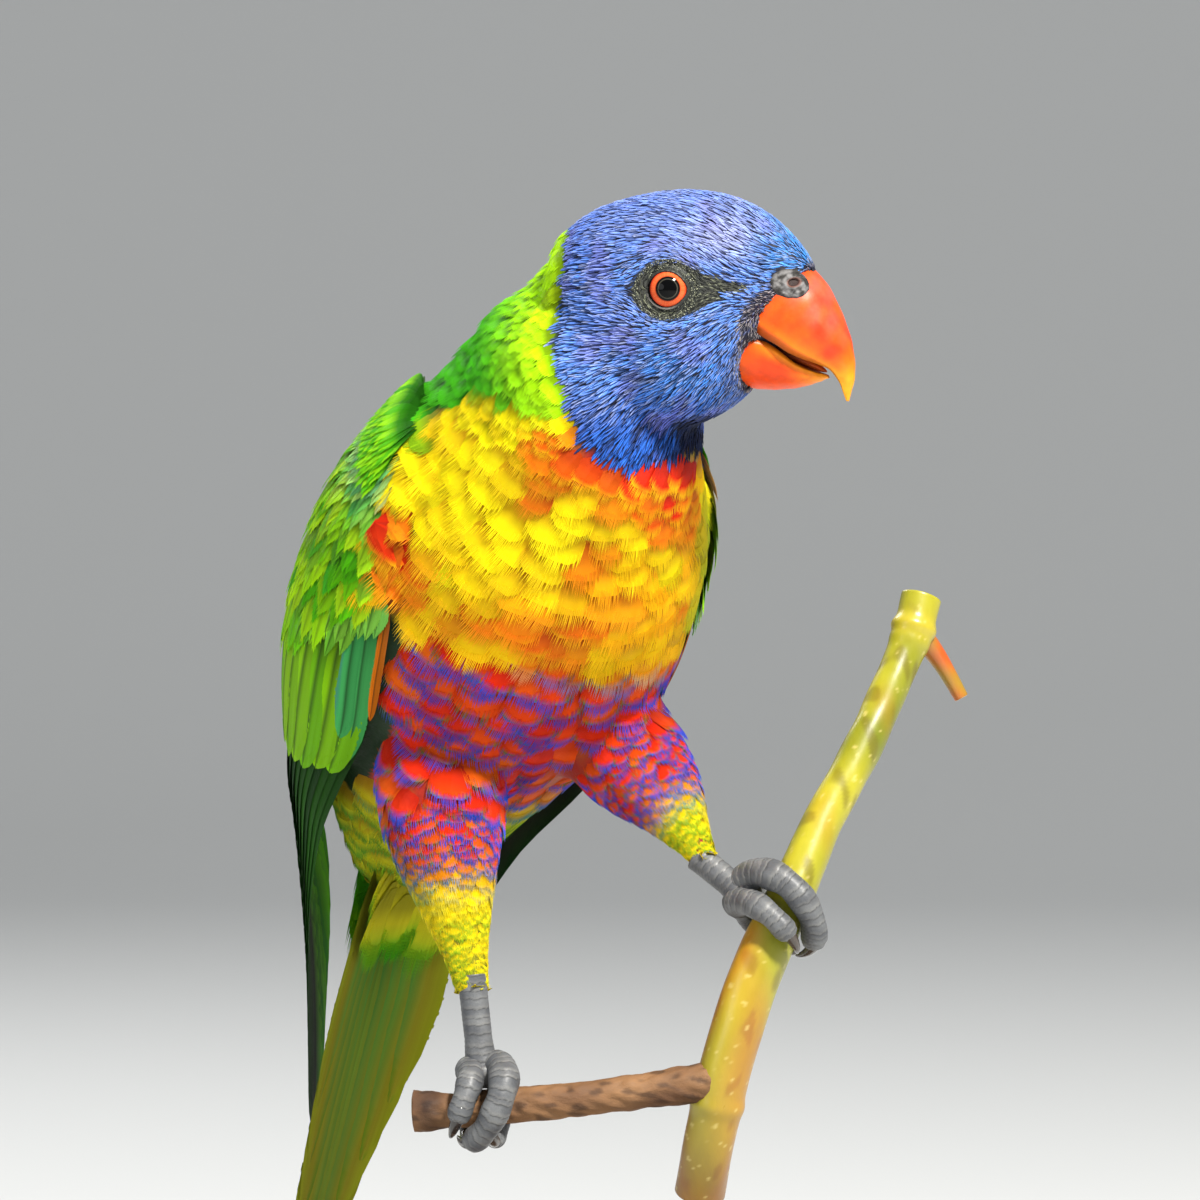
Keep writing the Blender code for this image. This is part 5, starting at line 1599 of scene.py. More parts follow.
# ------------------------------------------------------------------ eyes and lids
eye_mat = painted("wet_eye", 0.5, 0.0, 4000.0, 0.06, 0.0, coat_w=0.24, coat_r=0.02, rough_var=0.02)
lid_mat = painted("lid_skin", 0.5, 0.4, 2600.0, 0.25, 0.6, 0.00015, coat_w=0.15, coat_r=0.3)


def skin_hit(x, z, s):
    """The skin's outermost place at x, z of the head's frame, on the side s."""
    origin = Vector(from_head(np.array([x, 26.0 * s, z])))
    hit = TREE.ray_cast(origin, Vector(head_way(np.array([0, -s, 0.0]))))
    return to_head(np.array(hit[0])) if hit[0] else np.array([x, 12.0 * s, z])


def lid_radius(a):
    """The opening between the lids: round, with a small corner before and behind."""
    return 3.02 + 0.34 * np.abs(np.cos(a)) ** 9 * np.where(np.cos(a) > 0, 1.0, 0.8) - 0.10 * np.sin(a) ** 2


for s, name in ((1, "eye_left"), (-1, "eye_right")):
    centre = np.array([EYE_AT[0], EYE_AT[1] * s, EYE_AT[2]])
    axis = unit(np.array([0.10, s, 0.03]))
    e1 = unit(np.cross([0, 0, 1.0], axis))
    e2 = np.cross(axis, e1)
    rad = np.concatenate([np.linspace(0.12, 1.44, 6), [1.50, 1.56, 1.64, 1.72, 1.98, 2.04, 2.10], np.linspace(2.2, 2.95, 10), [3.02, 3.10, 3.2, 3.6, 4.0, 4.3]])
    ang = np.linspace(0, 2 * math.pi, 96, endpoint=False)
    rings = []
    for q in rad:
        depth = math.sqrt(max(EYE_R**2 - q * q, 0.0)) + 0.32 * math.exp(-((q / 2.2) ** 2)) - 0.20
        rings.append(centre + axis * depth + (e1 * np.cos(ang)[:, None] + e2 * np.sin(ang)[:, None]) * q)
    for q in (3.9, 2.6, 0.9):
        rings.append(centre - axis * math.sqrt(EYE_R**2 - q * q) + (e1 * np.cos(ang)[:, None] + e2 * np.sin(ang)[:, None]) * q)
    v, fs = lofted(np.array(rings))
    me = new_mesh(name, from_head(v), fs)
    d = v - centre
    out = d @ axis
    q = np.linalg.norm(d - np.outer(out, axis), axis=1)
    th = np.arctan2(d @ e2, d @ e1)
    streak = 0.5 + 0.5 * np.sin(th * 31 + 2 * np.sin(th * 7)) * np.sin(th * 17 + 1)
    iris = mix(lin(222, 84, 40), lin(236, 120, 70), 0.6 * streak)
    iris = mix(iris, lin(196, 56, 26), smooth(q, 2.62, 2.98))
    iris = mix(iris, lin(190, 74, 40), smooth(q, 2.25, 2.08))
    c = np.tile(lin(7, 7, 8), (len(v), 1))
    c = mix(c, lin(78, 76, 66), np.exp(-(((q - 1.60) / 0.07) ** 2)))
    c = mix(c, iris, smooth(q, 2.00, 2.08) * smooth(q, 3.04, 2.98))
    c = mix(c, lin(18, 16, 16), smooth(q, 3.02, 3.12))
    c = np.where((out < 0)[:, None], lin(20, 18, 18), c)
    paint(me, c)
    show(name + "_ball", me, eye_mat, (name,))

    # lids: a soft rim against the eye, then a fold, then the skin of the face
    ang = np.linspace(0, 2 * math.pi, 120, endpoint=False)
    rows = [(-0.12, -0.9), (-0.04, -0.25), (0.0, 0.06), (0.10, 0.22), (0.28, 0.30), (0.46, 0.20), (0.60, 0.06), (0.78, 0.16), (1.00, 0.24), (1.25, 0.18), (1.45, 0.04),
            (1.62, 0.10), (1.85, 0.14), (2.1, 0.05), (2.5, -0.10), (2.8, -0.35), (2.4, -0.9), (1.2, -1.2)]
    rings = []
    base_r = lid_radius(ang)
    for k, (dr, dz) in enumerate(rows):
        ring = []
        for a, r0 in zip(ang, base_r):
            rr = r0 + dr
            x, z = EYE_AT[0] + math.cos(a) * rr, EYE_AT[2] + math.sin(a) * rr
            out_skin = abs(skin_hit(EYE_AT[0] + math.cos(a) * max(rr, 4.4), EYE_AT[2] + math.sin(a) * max(rr, 4.4), s)[1])
            ball = EYE_AT[1] + math.sqrt(max(EYE_R**2 - min(rr, 4.2) ** 2, 0.0)) - 0.1
            w = smooth(rr - r0, 0.25, 1.9)
            y = ball * (1 - w) + out_skin * w + dz * (1 + 0.18 * math.sin(a * 23 + k))
            ring.append((x, s * y, z))
        rings.append(ring)
    rings = np.array(rings)
    v, fs = lofted(rings, caps=False)
    c = rings.shape[1]
    j = np.arange(c)
    last = (len(rows) - 1) * c
    close = np.stack([last + j, last + (j + 1) % c, (j + 1) % c, j], 1)
    a0, b0, d0 = v[fs[0][0, 0]], v[fs[0][0, 1]], v[fs[0][0, 3]]
    flipped = fs[0][0, 0] != 0 or fs[0][0, 1] != 1
    fs.append(close[:, ::-1] if flipped else close)
    me = new_mesh(f"lids_{'left' if s > 0 else 'right'}", from_head(v), fs)
    bm = bmesh.new()
    bm.from_mesh(me)
    bmesh.ops.recalc_face_normals(bm, faces=bm.faces)
    bm.to_mesh(me)
    bm.free()
    kk = np.repeat(np.arange(len(rows)), c)
    aa = np.tile(ang, len(rows))
    # the folds' rows are painted near black: painted shade in the creases
    crease_shade = np.isin(kk, (6, 10))
    pale = smooth(np.cos(aa - math.radians(235)), 0.2, 0.8)
    col = mix(lin(34, 38, 34), lin(46, 48, 42), (kk >= 3) * (kk <= 5) * 1.0)
    col = mix(col, lin(14, 14, 14), crease_shade * 0.85)
    col = mix(col, lin(12, 11, 11), (kk <= 3) * 0.95)
    col = mix(col, lin(176, 168, 160), 0.85 * (kk == 4) * pale)
    paint(me, col)
    show(me.name, me, lid_mat)

    # tiny pale scales in rings round the lids
    bm = bmesh.new()
    r = np.random.default_rng(40)
    for ring, (dr, count, size) in enumerate(((0.62, 66, 0.085), (0.84, 62, 0.11), (1.10, 66, 0.12), (1.38, 70, 0.12), (1.70, 72, 0.12), (2.02, 76, 0.12))):
        for b in range(count):
            a = 2 * math.pi * (b + r.uniform(-0.42, 0.42)) / count
            rr = float(lid_radius(a)) + dr + r.uniform(-0.12, 0.12)
            x, z = EYE_AT[0] + math.cos(a) * rr, EYE_AT[2] + math.sin(a) * rr
            out_skin = abs(skin_hit(EYE_AT[0] + math.cos(a) * max(rr, 4.4), EYE_AT[2] + math.sin(a) * max(rr, 4.4), s)[1])
            ball = EYE_AT[1] + math.sqrt(max(EYE_R**2 - min(rr, 4.2) ** 2, 0.0)) - 0.1
            w = smooth(dr, 0.25, 1.9)
            y = ball * (1 - w) + out_skin * w + 0.22
            m = Matrix.Translation(Vector(metres(from_head(np.array([x, s * y, z]))))) @ Matrix.Diagonal((*(Vector((1, 1, 1)) * size * 0.001 * r.uniform(0.6, 1.3)), 1))
            bmesh.ops.create_icosphere(bm, subdivisions=1, radius=1.0, matrix=m)
    me = bpy.data.meshes.new(f"lid_scales_{'left' if s > 0 else 'right'}")
    bm.to_mesh(me)
    bm.free()
    me.shade_smooth()
    v = np.empty(len(me.vertices) * 3, np.float32)
    me.vertices.foreach_get("co", v)
    v = v.reshape(-1, 3) * 1000
    paint(me, mix(lin(46, 50, 44), lin(176, 178, 150), hash3(np.round(v / 0.4), 1) ** 1.6))
    show(me.name, me, lid_mat)

# ------------------------------------------------------------------ shoulder feathers over the wing's bend
for side, name in ((1, "left"), (-1, "right")):
    r = np.random.default_rng(90 + side)
    rows = []
    for row, s in enumerate((5.4, 4.4, 3.4, 2.4, 1.4, 0.7, 0.2)):
        for j in range(20):
            f = 0.26 + 0.72 * (j + 0.5 * (row % 2)) / 19.5
            rows.append((max(s + r.normal(0, 0.25), 0.0), min(f, 0.98), 5.0 * r.uniform(0.85, 1.15), 1.05 + 0.05 * row))
    s0, f0, size, lift = np.array(rows).T
    N = len(s0)
    C, U, S = wing_lines(side, s0, f0, s0 + size, f0 - 0.03, np.full(N, -1.0), lift * 0.55, 6, 1.15)
    a, b = np.tile(lin(50, 150, 10), (N, 1)), mix(lin(76, 190, 22), lin(166, 244, 20), r.uniform(0, 1, N))

    def tint(v, s, who):
        t = s.t[None, :]
        # darker towards the root: painted shade under the feathers that lie over it
        return mix(a[who][:, None], b[who][:, None], smooth(t, 0.35, 0.8)) * (0.35 + 0.65 * smooth(t, 0.2, 0.7))[..., None]

    coat("shoulder_feathers_" + name, laid(COVERTS, r.integers(0, 3, N), C, U, S, r.uniform(1.1, 1.6, N), 1.15, np.full(N, 0.12), zs=0.45), tint,
         wing_uv(side, s0, f0) + (0.5, 0), green_mat)

# ------------------------------------------------------------------ cere, tongue
cere_mat = painted("grey_cere", 0.62, 0.3, 2200.0, 0.30, 0.9, 0.00016, coat_w=0.0, coat_r=0.3)
for s, name in ((1, "left"), (-1, "right")):
    centre = np.array([18.8, 5.4 * s, 1.6])
    hit = TREE.find_nearest(Vector(from_head(centre)))
    mid, out = to_head(np.array(hit[0])), unit(np.array([0.42, s * 0.90, 0.12]))
    e1 = unit(np.cross([0, 0, 1.0], out)) * (1 if s > 0 else 1)
    e1 = e1 if e1[0] > 0 else -e1
    e2 = unit(np.cross(out, e1))
    e2 = e2 if e2[2] > 0 else -e2
    ang = np.linspace(0, 2 * math.pi, 64, endpoint=False)
    share = np.concatenate([np.linspace(0.03, 0.42, 12), np.linspace(0.46, 1.0, 18)])
    rings, hue = [], []
    for q in share:
        ring = []
        for a in ang:
            x, z = math.cos(a) * (4.3 if math.cos(a) < 0 else 3.5) * q, math.sin(a) * 2.9 * q - 0.10 * math.cos(a) * q
            # the nostril is a slanting oval hole with a swollen rim
            nx, nz = (x - 0.25) / 1.02, (z - 0.10 - 0.15 * x) / 0.72
            hole = math.hypot(nx, nz)
            height = 0.72 * (1 - q**2.2) + 0.34 * math.exp(-(((hole - 1.5) / 0.42) ** 2)) - 0.46 * float(smooth(hole, 1.12, 0.75)) + 0.07 * math.sin(x * 4.1 + 1.3 * math.sin(z * 3.3)) * math.sin(z * 4.6 + x) * float(smooth(hole, 1.6, 2.2))
            height += 0.022 * math.sin(q * 26 + 2 * math.sin(2 * a)) * float(smooth(q, 0.45, 0.6)) * float(smooth(q, 1.0, 0.85))
            o = mid + e1 * x + e2 * z + out * 9.0
            falls = [d for d in (TREE.ray_cast(Vector(from_head(o)), Vector(head_way(-out)))[3], BILLS[0].ray_cast(Vector(o), Vector(-out))[3]) if d is not None and d < 14]
            near = TREE.find_nearest(Vector(from_head(mid + e1 * x + e2 * z)))
            base = o - out * min(falls) if falls else to_head(np.array(near[0]))
            ring.append(base + out * (height - 0.06 - 0.5 * float(smooth(q, 0.8, 1.0))))
            hue.append((hole, q))
        rings.append(ring)
    under = [np.array(rings[-1]) - out * 0.5, np.array(rings[12]) - out * 2.6]
    rings = np.array(rings + under)
    v, fs = lofted(rings)
    me = new_mesh("cere_" + name, from_head(v), fs)
    bm = bmesh.new()
    bm.from_mesh(me)
    bmesh.ops.recalc_face_normals(bm, faces=bm.faces)
    bm.to_mesh(me)
    bm.free()
    hue = np.array(hue + [(3.0, 1.0)] * (len(v) - len(hue)))
    n = soft_noise(v, 1.6, 30)
    c = mix(lin(46, 44, 42), lin(122, 120, 120), np.clip(0.5 + 0.7 * n + 0.4 * soft_noise(v, 0.6, 31), 0, 1))
    c = mix(c, lin(136, 92, 80), 0.7 * smooth(hue[:, 0], 1.4, 1.05))
    # the nostril's opening is painted near black: painted shade in the hole
    c = mix(c, lin(30, 12, 10), 0.95 * smooth(hue[:, 0], 1.05, 0.8))
    c = mix(c, lin(34, 32, 32), 0.85 * smooth(hue[:, 1], 0.60, 0.98))
    paint(me, c)
    show(me.name, me, cere_mat)

k = np.linspace(0, 1, 40)
path = at([(9.0, 0, -8.4), (13.5, 0, -9.0), (18.0, 0, -10.3), (21.5, 0, -11.9), (23.9, 0, -13.1)], k)
w = 3.3 * np.sqrt(np.clip(1 - k**3.4, 0.02, 1)) * (0.80 + 0.20 * np.cos(k * 3))
v, fs = lofted(tube(path, w, 28, (0, 0, 1), 0.42))
me = new_mesh("tongue", from_head(v), fs)
bm = bmesh.new()
bm.from_mesh(me)
bmesh.ops.recalc_face_normals(bm, faces=bm.faces)
bm.to_mesh(me)
bm.free()
# darker towards the back: painted shade deep inside the mouth
paint(me, mix(lin(58, 22, 14), lin(196, 84, 22), smooth(v[:, 0], 16, 23)))
show("tongue", me, painted("tongue_shaded_inside", 0.5, 0.3, 3000.0, 0.2, 0.5, 0.0002))


# ------------------------------------------------------------------ feet
def ends(table, t, where):
    row = at(table, t)
    d = at(table, min(t + 0.02, 1)) - at(table, max(t - 0.02, 0))
    return row[:3], unit(d[:3]), row[3]


TOES = {
    "front_inner": (1, -2.1, 1.0, -4.2, 102, 2.55, 2.05, 6.4), "front_outer": (1, 2.1, 3.1, -2.0, 160, 2.85, 2.25, 7.0),
    "back_inner": (-1, -1.8, 0.3, -3.4, 112, 1.95, 1.65, 5.5), "back_outer": (-1, 2.0, 0.8, 1.2, 160, 2.2, 1.8, 6.4),
}
scale_mat = painted("scaly_foot", 0.48, 0.4, 2400.0, 0.22, 0.5, 0.00015, coat_w=0.12, coat_r=0.3)
claw_mat = painted("dark_claw", 0.24, 0.5, 1800.0, 0.15, 0.15, 0.0001, coat_w=0.5, coat_r=0.12, rough_var=0.08)


def scaled(path, radii, sides, up, spacing, plates, seed, away):
    """A toe or shank with overlapping plates on the side that away points to and small round scales elsewhere. Returns rings and colours."""
    p = np.asarray(path, float)
    length = np.concatenate([[0], np.cumsum(np.linalg.norm(np.diff(p, axis=0), axis=1))])
    m = max(12, int(length[-1] / spacing) * 9)
    s = np.linspace(0, length[-1], m)
    p = np.stack([np.interp(s, length, p[:, i]) for i in range(3)], 1)
    r = np.interp(s, length, radii)
    way, side, top = ring_frames(p, up)
    a = np.linspace(0, 2 * math.pi, sides, endpoint=False)
    r_noise = np.random.default_rng(seed)
    count = int(length[-1] / spacing)
    cuts = np.sort((np.arange(-1, count + 3) + r_noise.uniform(-0.26, 0.26, count + 4)) * spacing)
    dirs = side[:, None] * np.cos(a)[None, :, None] + top[:, None] * np.sin(a)[None, :, None]
    out = away(p)
    facing = (dirs * out[:, None]).sum(-1)
    across = np.arccos(np.clip(facing, -1, 1))
    back = smooth(facing, 0.05, 0.55) * plates
    # each plate's front edge is bowed and a little uneven
    bent = s[:, None] + spacing * (0.22 * across**2 + 0.07 * np.sin(a * 7 + seed)[None])
    i = np.clip(np.searchsorted(cuts, bent.ravel()).reshape(bent.shape), 1, len(cuts) - 1)
    f = np.clip((bent - cuts[i - 1]) / (cuts[i] - cuts[i - 1]), 0, 1)
    tone = r_noise.uniform(-1, 1, len(cuts))[i]
    cells = np.sin(s[:, None] * (2 * math.pi / (spacing * 0.55)) + 1.6 * np.sin(a * 5)[None]) * np.sin(a * 11 + s[:, None] * 0.7)
    plate = (0.10 * f**1.3 * (1 - 0.5 * smooth(f, 0.86, 1.0)) - 0.05) * back + 0.045 * cells * (1 - back)
    rings = p[:, None] + dirs * (r[:, None] + plate)[..., None]
    pale = (0.55 * smooth(f, 0.55, 0.9) + 0.18 * tone) * back + 0.30 * smooth(cells, 0.2, 0.6) * (1 - back)
    gap = smooth(f, 0.16, 0.04) * back + 0.45 * smooth(cells, -0.15, -0.5) * (1 - back)
    return rings, pale, gap


def merge(blocks):
    V, F, k = [], [], 0
    for v, fs in blocks:
        V.append(v)
        F += [f + k for f in fs]
        k += len(v)
    by = {}
    for f in F:
        by.setdefault(f.shape[1], []).append(f)
    return np.vstack(V), [np.concatenate(b) for b in by.values()]


for name, table, leg in (("left", STEM, LEGS["left"]), ("right", BRANCH, LEGS["right"])):
    centre, axis, stem_r = ends(table, leg["grip"], None)
    if axis[2] < -0.5 or (abs(axis[2]) < 0.5 and axis[0] < 0):
        axis = -axis
    up = unit(leg["palm"])
    up = unit(up - axis * (up @ axis))
    front = np.cross(axis, up)
    if front @ np.array([-0.3, -1, 0]) < 0:
        front, axis = -front, -axis
    palm = centre + up * (stem_r + 3.3 * 0.7 + 0.35)
    ankle = np.array(leg["ankle"])
    k = np.linspace(0, 1, 24)
    shank = at([ankle + (ankle - palm) * 0.3, ankle, ankle + (palm - ankle) * 0.55, palm], k)
    blocks, pales, gaps, claws = [], [], [], []
    rings, pale, gap = scaled(shank, np.interp(k, [0, 0.33, 0.66, 1], [2.5, 2.4, 2.35, 2.9]), 40, front, 1.5, 0.9, 5, lambda q: np.tile(unit(front + 0.3 * axis), (len(q), 1)))
    blocks.append(lofted(rings)); pales.append(np.append(pale.ravel(), [0, 0])); gaps.append(np.append(gap.ravel(), [0, 0]))
    # the palm: a padded knob where the toes meet
    u = np.linspace(0, math.pi, 20)
    ball = [palm - up * 3.0 * math.cos(q) * 0.8 + (np.outer(np.cos(a_), axis) * 3.9 + np.outer(np.sin(a_), front) * 3.4) * max(math.sin(q), 0.02)
            for q in u for a_ in [np.linspace(0, 2 * math.pi, 32, endpoint=False)]]
    ball = np.array(ball)
    bumps = 0.07 * np.sin(ball @ unit([1, 0.4, 0.2]) * 5.5) * np.sin(ball @ unit([-0.3, 1, 0.5]) * 5.5)
    ball = ball + unit(ball - palm) * bumps[..., None]
    blocks.append(lofted(ball)); pales.append(np.append(0.6 * (bumps.ravel() > 0.02), [0, 0])); gaps.append(np.append(0.6 * (bumps.ravel() < -0.03), [0, 0]))
    for j, (turn, o0, arch, o1, sweep, r0, r1, claw) in enumerate(TOES.values()):
        f = np.linspace(0, 1, 40)
        ang = np.radians(sweep) * f
        r = r0 + (r1 - r0) * f
        # the joints' pads: slight swellings along each toe
        r_seen = r * (1 + 0.055 * np.cos(f * math.pi * 2 * (3 if sweep > 130 else 2)))
        gap_out = stem_r + r + 0.35 + 0.1 + 0.45 * np.exp(-((f / 0.25) ** 2))
        path = centre + (up * np.cos(ang)[:, None] + front * (turn * np.sin(ang))[:, None]) * gap_out[:, None] + axis * (o0 + (o1 - o0) * f + arch * np.sin(math.pi * f**0.8))[:, None]
        tip_r = np.concatenate([r_seen * 0.97, [r1 * 0.85, r1 * 0.5]])
        end = unit(path[-1] - path[-2])
        long_path = np.vstack([path, path[-1] + end * 0.55 * r1, path[-1] + end * 0.85 * r1])
        outward = unit(path[0] - centre)
        rings, pale, gap = scaled(long_path, tip_r, 40, axis, 1.25, 1.0, 11 + j, lambda q: unit(q - centre - axis * ((q - centre) @ axis)[:, None]))
        # the ring scales lie on the side away from the stem
        aw = unit(long_path.mean(0) - centre)
        blocks.append(lofted(rings)); pales.append(np.append(pale.ravel(), [0, 0])); gaps.append(np.append(gap.ravel(), [0, 0]))
        way = unit(path[-1] - path[-2])
        inward = unit(centre - path[-1] - axis * ((centre - path[-1]) @ axis))
        cf = np.linspace(0, 1, 28)
        b = np.radians(70) * cf
        step = (np.outer(np.sin(b), way) + np.outer(1 - np.cos(b), inward) * 0.8) / math.radians(70)
        cpath = path[-1] - way * 1.2 + step * claw * 1.2 - inward * 0.5
        cr = 1.5 * (1 - cf) ** 0.7 + 0.12
        claws.append(lofted(tube(cpath, cr * 0.92, 24, axis, 1.0)))
    v, fs = merge(blocks)
    me = new_mesh("toes_" + name, v, fs)
    bm = bmesh.new()
    bm.from_mesh(me)
    bmesh.ops.recalc_face_normals(bm, faces=bm.faces)
    bm.to_mesh(me)
    bm.free()
    pale, gap = np.concatenate(pales), np.concatenate(gaps)
    n = soft_noise(v, 3.0, 40)
    c = mix(lin(78, 80, 84), lin(104, 106, 108), np.clip(0.5 + 0.5 * n, 0, 1))
    c = mix(c, lin(150, 148, 142), 0.45 * np.clip(pale, 0, 1))
    c = mix(c, lin(34, 32, 32), 0.6 * np.clip(gap, 0, 1))
    paint(me, c)
    show(me.name, me, scale_mat, ("foot_" + name,))
    v, fs = merge(claws)
    me = new_mesh("claws_" + name, v, fs)
    bm = bmesh.new()
    bm.from_mesh(me)
    bmesh.ops.recalc_face_normals(bm, faces=bm.faces)
    bm.to_mesh(me)
    bm.free()
    paint(me, mix(lin(40, 36, 34), lin(74, 64, 56), hash3(np.round(v * 0.4), 2)))
    show(me.name, me, claw_mat)

# ------------------------------------------------------------------ the cut stem
bark = painted("green_bark", 0.36, 0.45, 420.0, 0.16, 0.35, 0.0002, coat_w=0.2, coat_r=0.25, stretch=(1, 1, 0.45), detail=6.0)
brown = painted("brown_bark", 0.68, 0.3, 700.0, 0.35, 0.8, 0.0004, stretch=(0.35, 1, 1), detail=7.0)
wood = painted("cut_wood", 0.6, 0.3, 1500.0, 0.2, 0.4, 0.0002)


def bough(name, table, rings_n, sides, lumps, seed, colour, mat, replaces=(), start_cap=True):
    f = np.linspace(0, 1, rings_n)
    row = at(table, f)
    rings = tube(row[:, :3], row[:, 3] * 0.985, sides, (0, 1, 0))
    mid = rings.mean(1, keepdims=True)
    away = unit(rings - mid)
    lift = 0.10 * soft_noise(rings.reshape(-1, 3) * (1, 1, 0.4), 5.0, seed).reshape(rings.shape[:2]) + lumps(rings, f)
    rings = rings + away * lift[..., None]
    # the cut ends: a slight round at the rim, then the flat face
    def face(ring, way):
        c = ring.mean(0)
        return [c + (ring - c) * k + way * z for k, z in ((0.97, 0.12), (0.90, 0.18), (0.60, 0.16), (0.25, 0.14))]
    d0, d1 = unit(row[0, :3] - row[1, :3]), unit(row[-1, :3] - row[-2, :3])
    first, last = face(rings[0], d0)[::-1], face(rings[-1], d1)
    n0 = len(first)
    rings = np.concatenate([np.array(first), rings, np.array(last)])
    v, fs = lofted(rings)
    me = new_mesh(name, v, fs)
    end = np.zeros(rings.shape[:2])
    end[:n0 - 1] = 1
    end[-(len(last) - 1):] = 1
    end = np.append(end.ravel(), [1, 1])
    g = np.append(np.repeat(np.concatenate([np.zeros(n0), f, np.ones(len(last))]), rings.shape[1]), [0, 1])
    c = colour(v, g)
    q = np.linalg.norm(v - np.where((g < 0.5)[:, None], row[0, :3], row[-1, :3]), axis=1)
    rings_c = mix(lin(206, 190, 128), lin(178, 156, 96), 0.5 + 0.5 * np.sin(q * 9))
    rings_c = mix(rings_c, lin(120, 96, 56), smooth(q, 0.7, 0.3))
    c = mix(c, rings_c, end)
    paint(me, c)
    show(name, me, mat, replaces)
    return row


def stem_lumps(rings, f):
    z = np.full(rings.shape[:2], 0.0)
    ring = np.exp(-(((f - NODE) / 0.016) ** 2))[:, None] * 0.65 + np.exp(-(((f - NODE - 0.03) / 0.012) ** 2))[:, None] * 0.25
    low = np.exp(-(((f - 0.83) / 0.012) ** 2))[:, None] * 0.35
    return z + ring + low


def stem_colour(v, g):
    n, fine = soft_noise(v * (1, 1, 0.35), 9.0, 60), soft_noise(v * (1, 1, 0.3), 2.2, 61)
    c = mix(lin(116, 122, 30), lin(176, 168, 42), np.clip(0.5 + 0.5 * n, 0, 1))
    c = mix(c, lin(92, 78, 26), 0.5 * smooth(fine, 0.5, 1.2))
    side = smooth(soft_noise(v * (1, 1, 0.2), 14.0, 62) - 0.5 * np.sin(g * 5), 0.2, 0.9)
    c = mix(c, lin(186, 92, 24), 0.55 * side)
    c = mix(c, lin(200, 176, 52), 0.5 * np.exp(-(((g - NODE) / 0.03) ** 2)))
    c = mix(c, lin(110, 66, 24), 0.6 * smooth(g, 0.75, 1.0))
    lent = smooth(soft_noise(v * (1.6, 1.6, 0.8), 1.4, 63), 1.15, 1.5)
    return mix(c, lin(214, 196, 120), 0.5 * lent)


bough("stem_bark", STEM, 260, 56, stem_lumps, 70, stem_colour, bark, ("perch_stem",))
row = at(STEM, NODE)
way, side_v, _ = ring_frames(at(STEM, np.linspace(0, 0.1, 4))[:, :3])
shoot = row[:3] + np.array([0.0, 0, 0]) + at(SHOOT, np.linspace(0, 1, 40))
path = shoot
radii = np.interp(np.linspace(0, 1, 40), [0, 0.25, 0.6, 1.0], [2.6, 1.9, 1.5, 1.25])
rings = tube(path, radii, 28, (0, 1, 0))
d1 = unit(path[-1] - path[-2])
c_last = rings[-1].mean(0)
rings = np.concatenate([rings, np.array([c_last + (rings[-1] - c_last) * k + d1 * z for k, z in ((0.94, 0.1), (0.6, 0.12), (0.2, 0.1))])])
v, fs = lofted(rings)
me = new_mesh("side_shoot", v, fs)
bm = bmesh.new()
bm.from_mesh(me)
bmesh.ops.recalc_face_normals(bm, faces=bm.faces)
bm.to_mesh(me)
bm.free()
end = np.linalg.norm(v - path[-1], axis=1) < 1.2
c = mix(lin(190, 84, 30), lin(150, 128, 40), np.clip(0.5 + 0.5 * soft_noise(v, 6.0, 64), 0, 1))
c = mix(c, lin(200, 180, 120), (end & ((v - path[-1]) @ d1 > 0.04)) * 1.0)
paint(me, c)
show("side_shoot", me, bark)


def branch_lumps(rings, f):
    knot = np.exp(-(((f - 0.93) / 0.05) ** 2))[:, None] * 0.25 + np.exp(-(((f - 0.30) / 0.02) ** 2))[:, None] * 0.18
    ridges = 0.10 * soft_noise(rings.reshape(-1, 3) * (0.25, 1, 1), 1.3, 71).reshape(rings.shape[:2])
    return knot + ridges - 0.12


def branch_colour(v, g):
    n, fine = soft_noise(v * (0.4, 1, 1), 6.0, 65), soft_noise(v * (0.25, 1, 1), 1.2, 66)
    c = mix(lin(96, 66, 44), lin(146, 108, 72), np.clip(0.5 + 0.5 * n, 0, 1))
    c = mix(c, lin(46, 30, 22), 0.6 * smooth(fine, 0.3, 1.1))
    return mix(c, lin(40, 26, 20), 0.6 * np.exp(-(((g - 0.93) / 0.06) ** 2)))


bough("branch_bark", BRANCH, 170, 48, branch_lumps, 72, branch_colour, brown, ("perch_branch",))


# ------------------------------------------------------------------ the display stand
def turned(name, profile, n, at_xy, mat, replaces):
    """A lathe-turned solid from rows of (radius, z in metres' millimetres above the floor)."""
    a = np.linspace(0, 2 * math.pi, n, endpoint=False)
    prof = np.array(profile, float)
    rings = np.stack([np.stack([at_xy[0] + r * np.cos(a), at_xy[1] + r * np.sin(a), np.full(n, z)], 1) for r, z in prof])
    v, fs = lofted(rings)
    me = new_mesh(name, v - (0, BACK, LIFT), fs)
    bm = bmesh.new()
    bm.from_mesh(me)
    bmesh.ops.recalc_face_normals(bm, faces=bm.faces)
    bm.to_mesh(me)
    bm.free()
    return show(name, me, mat, replaces)


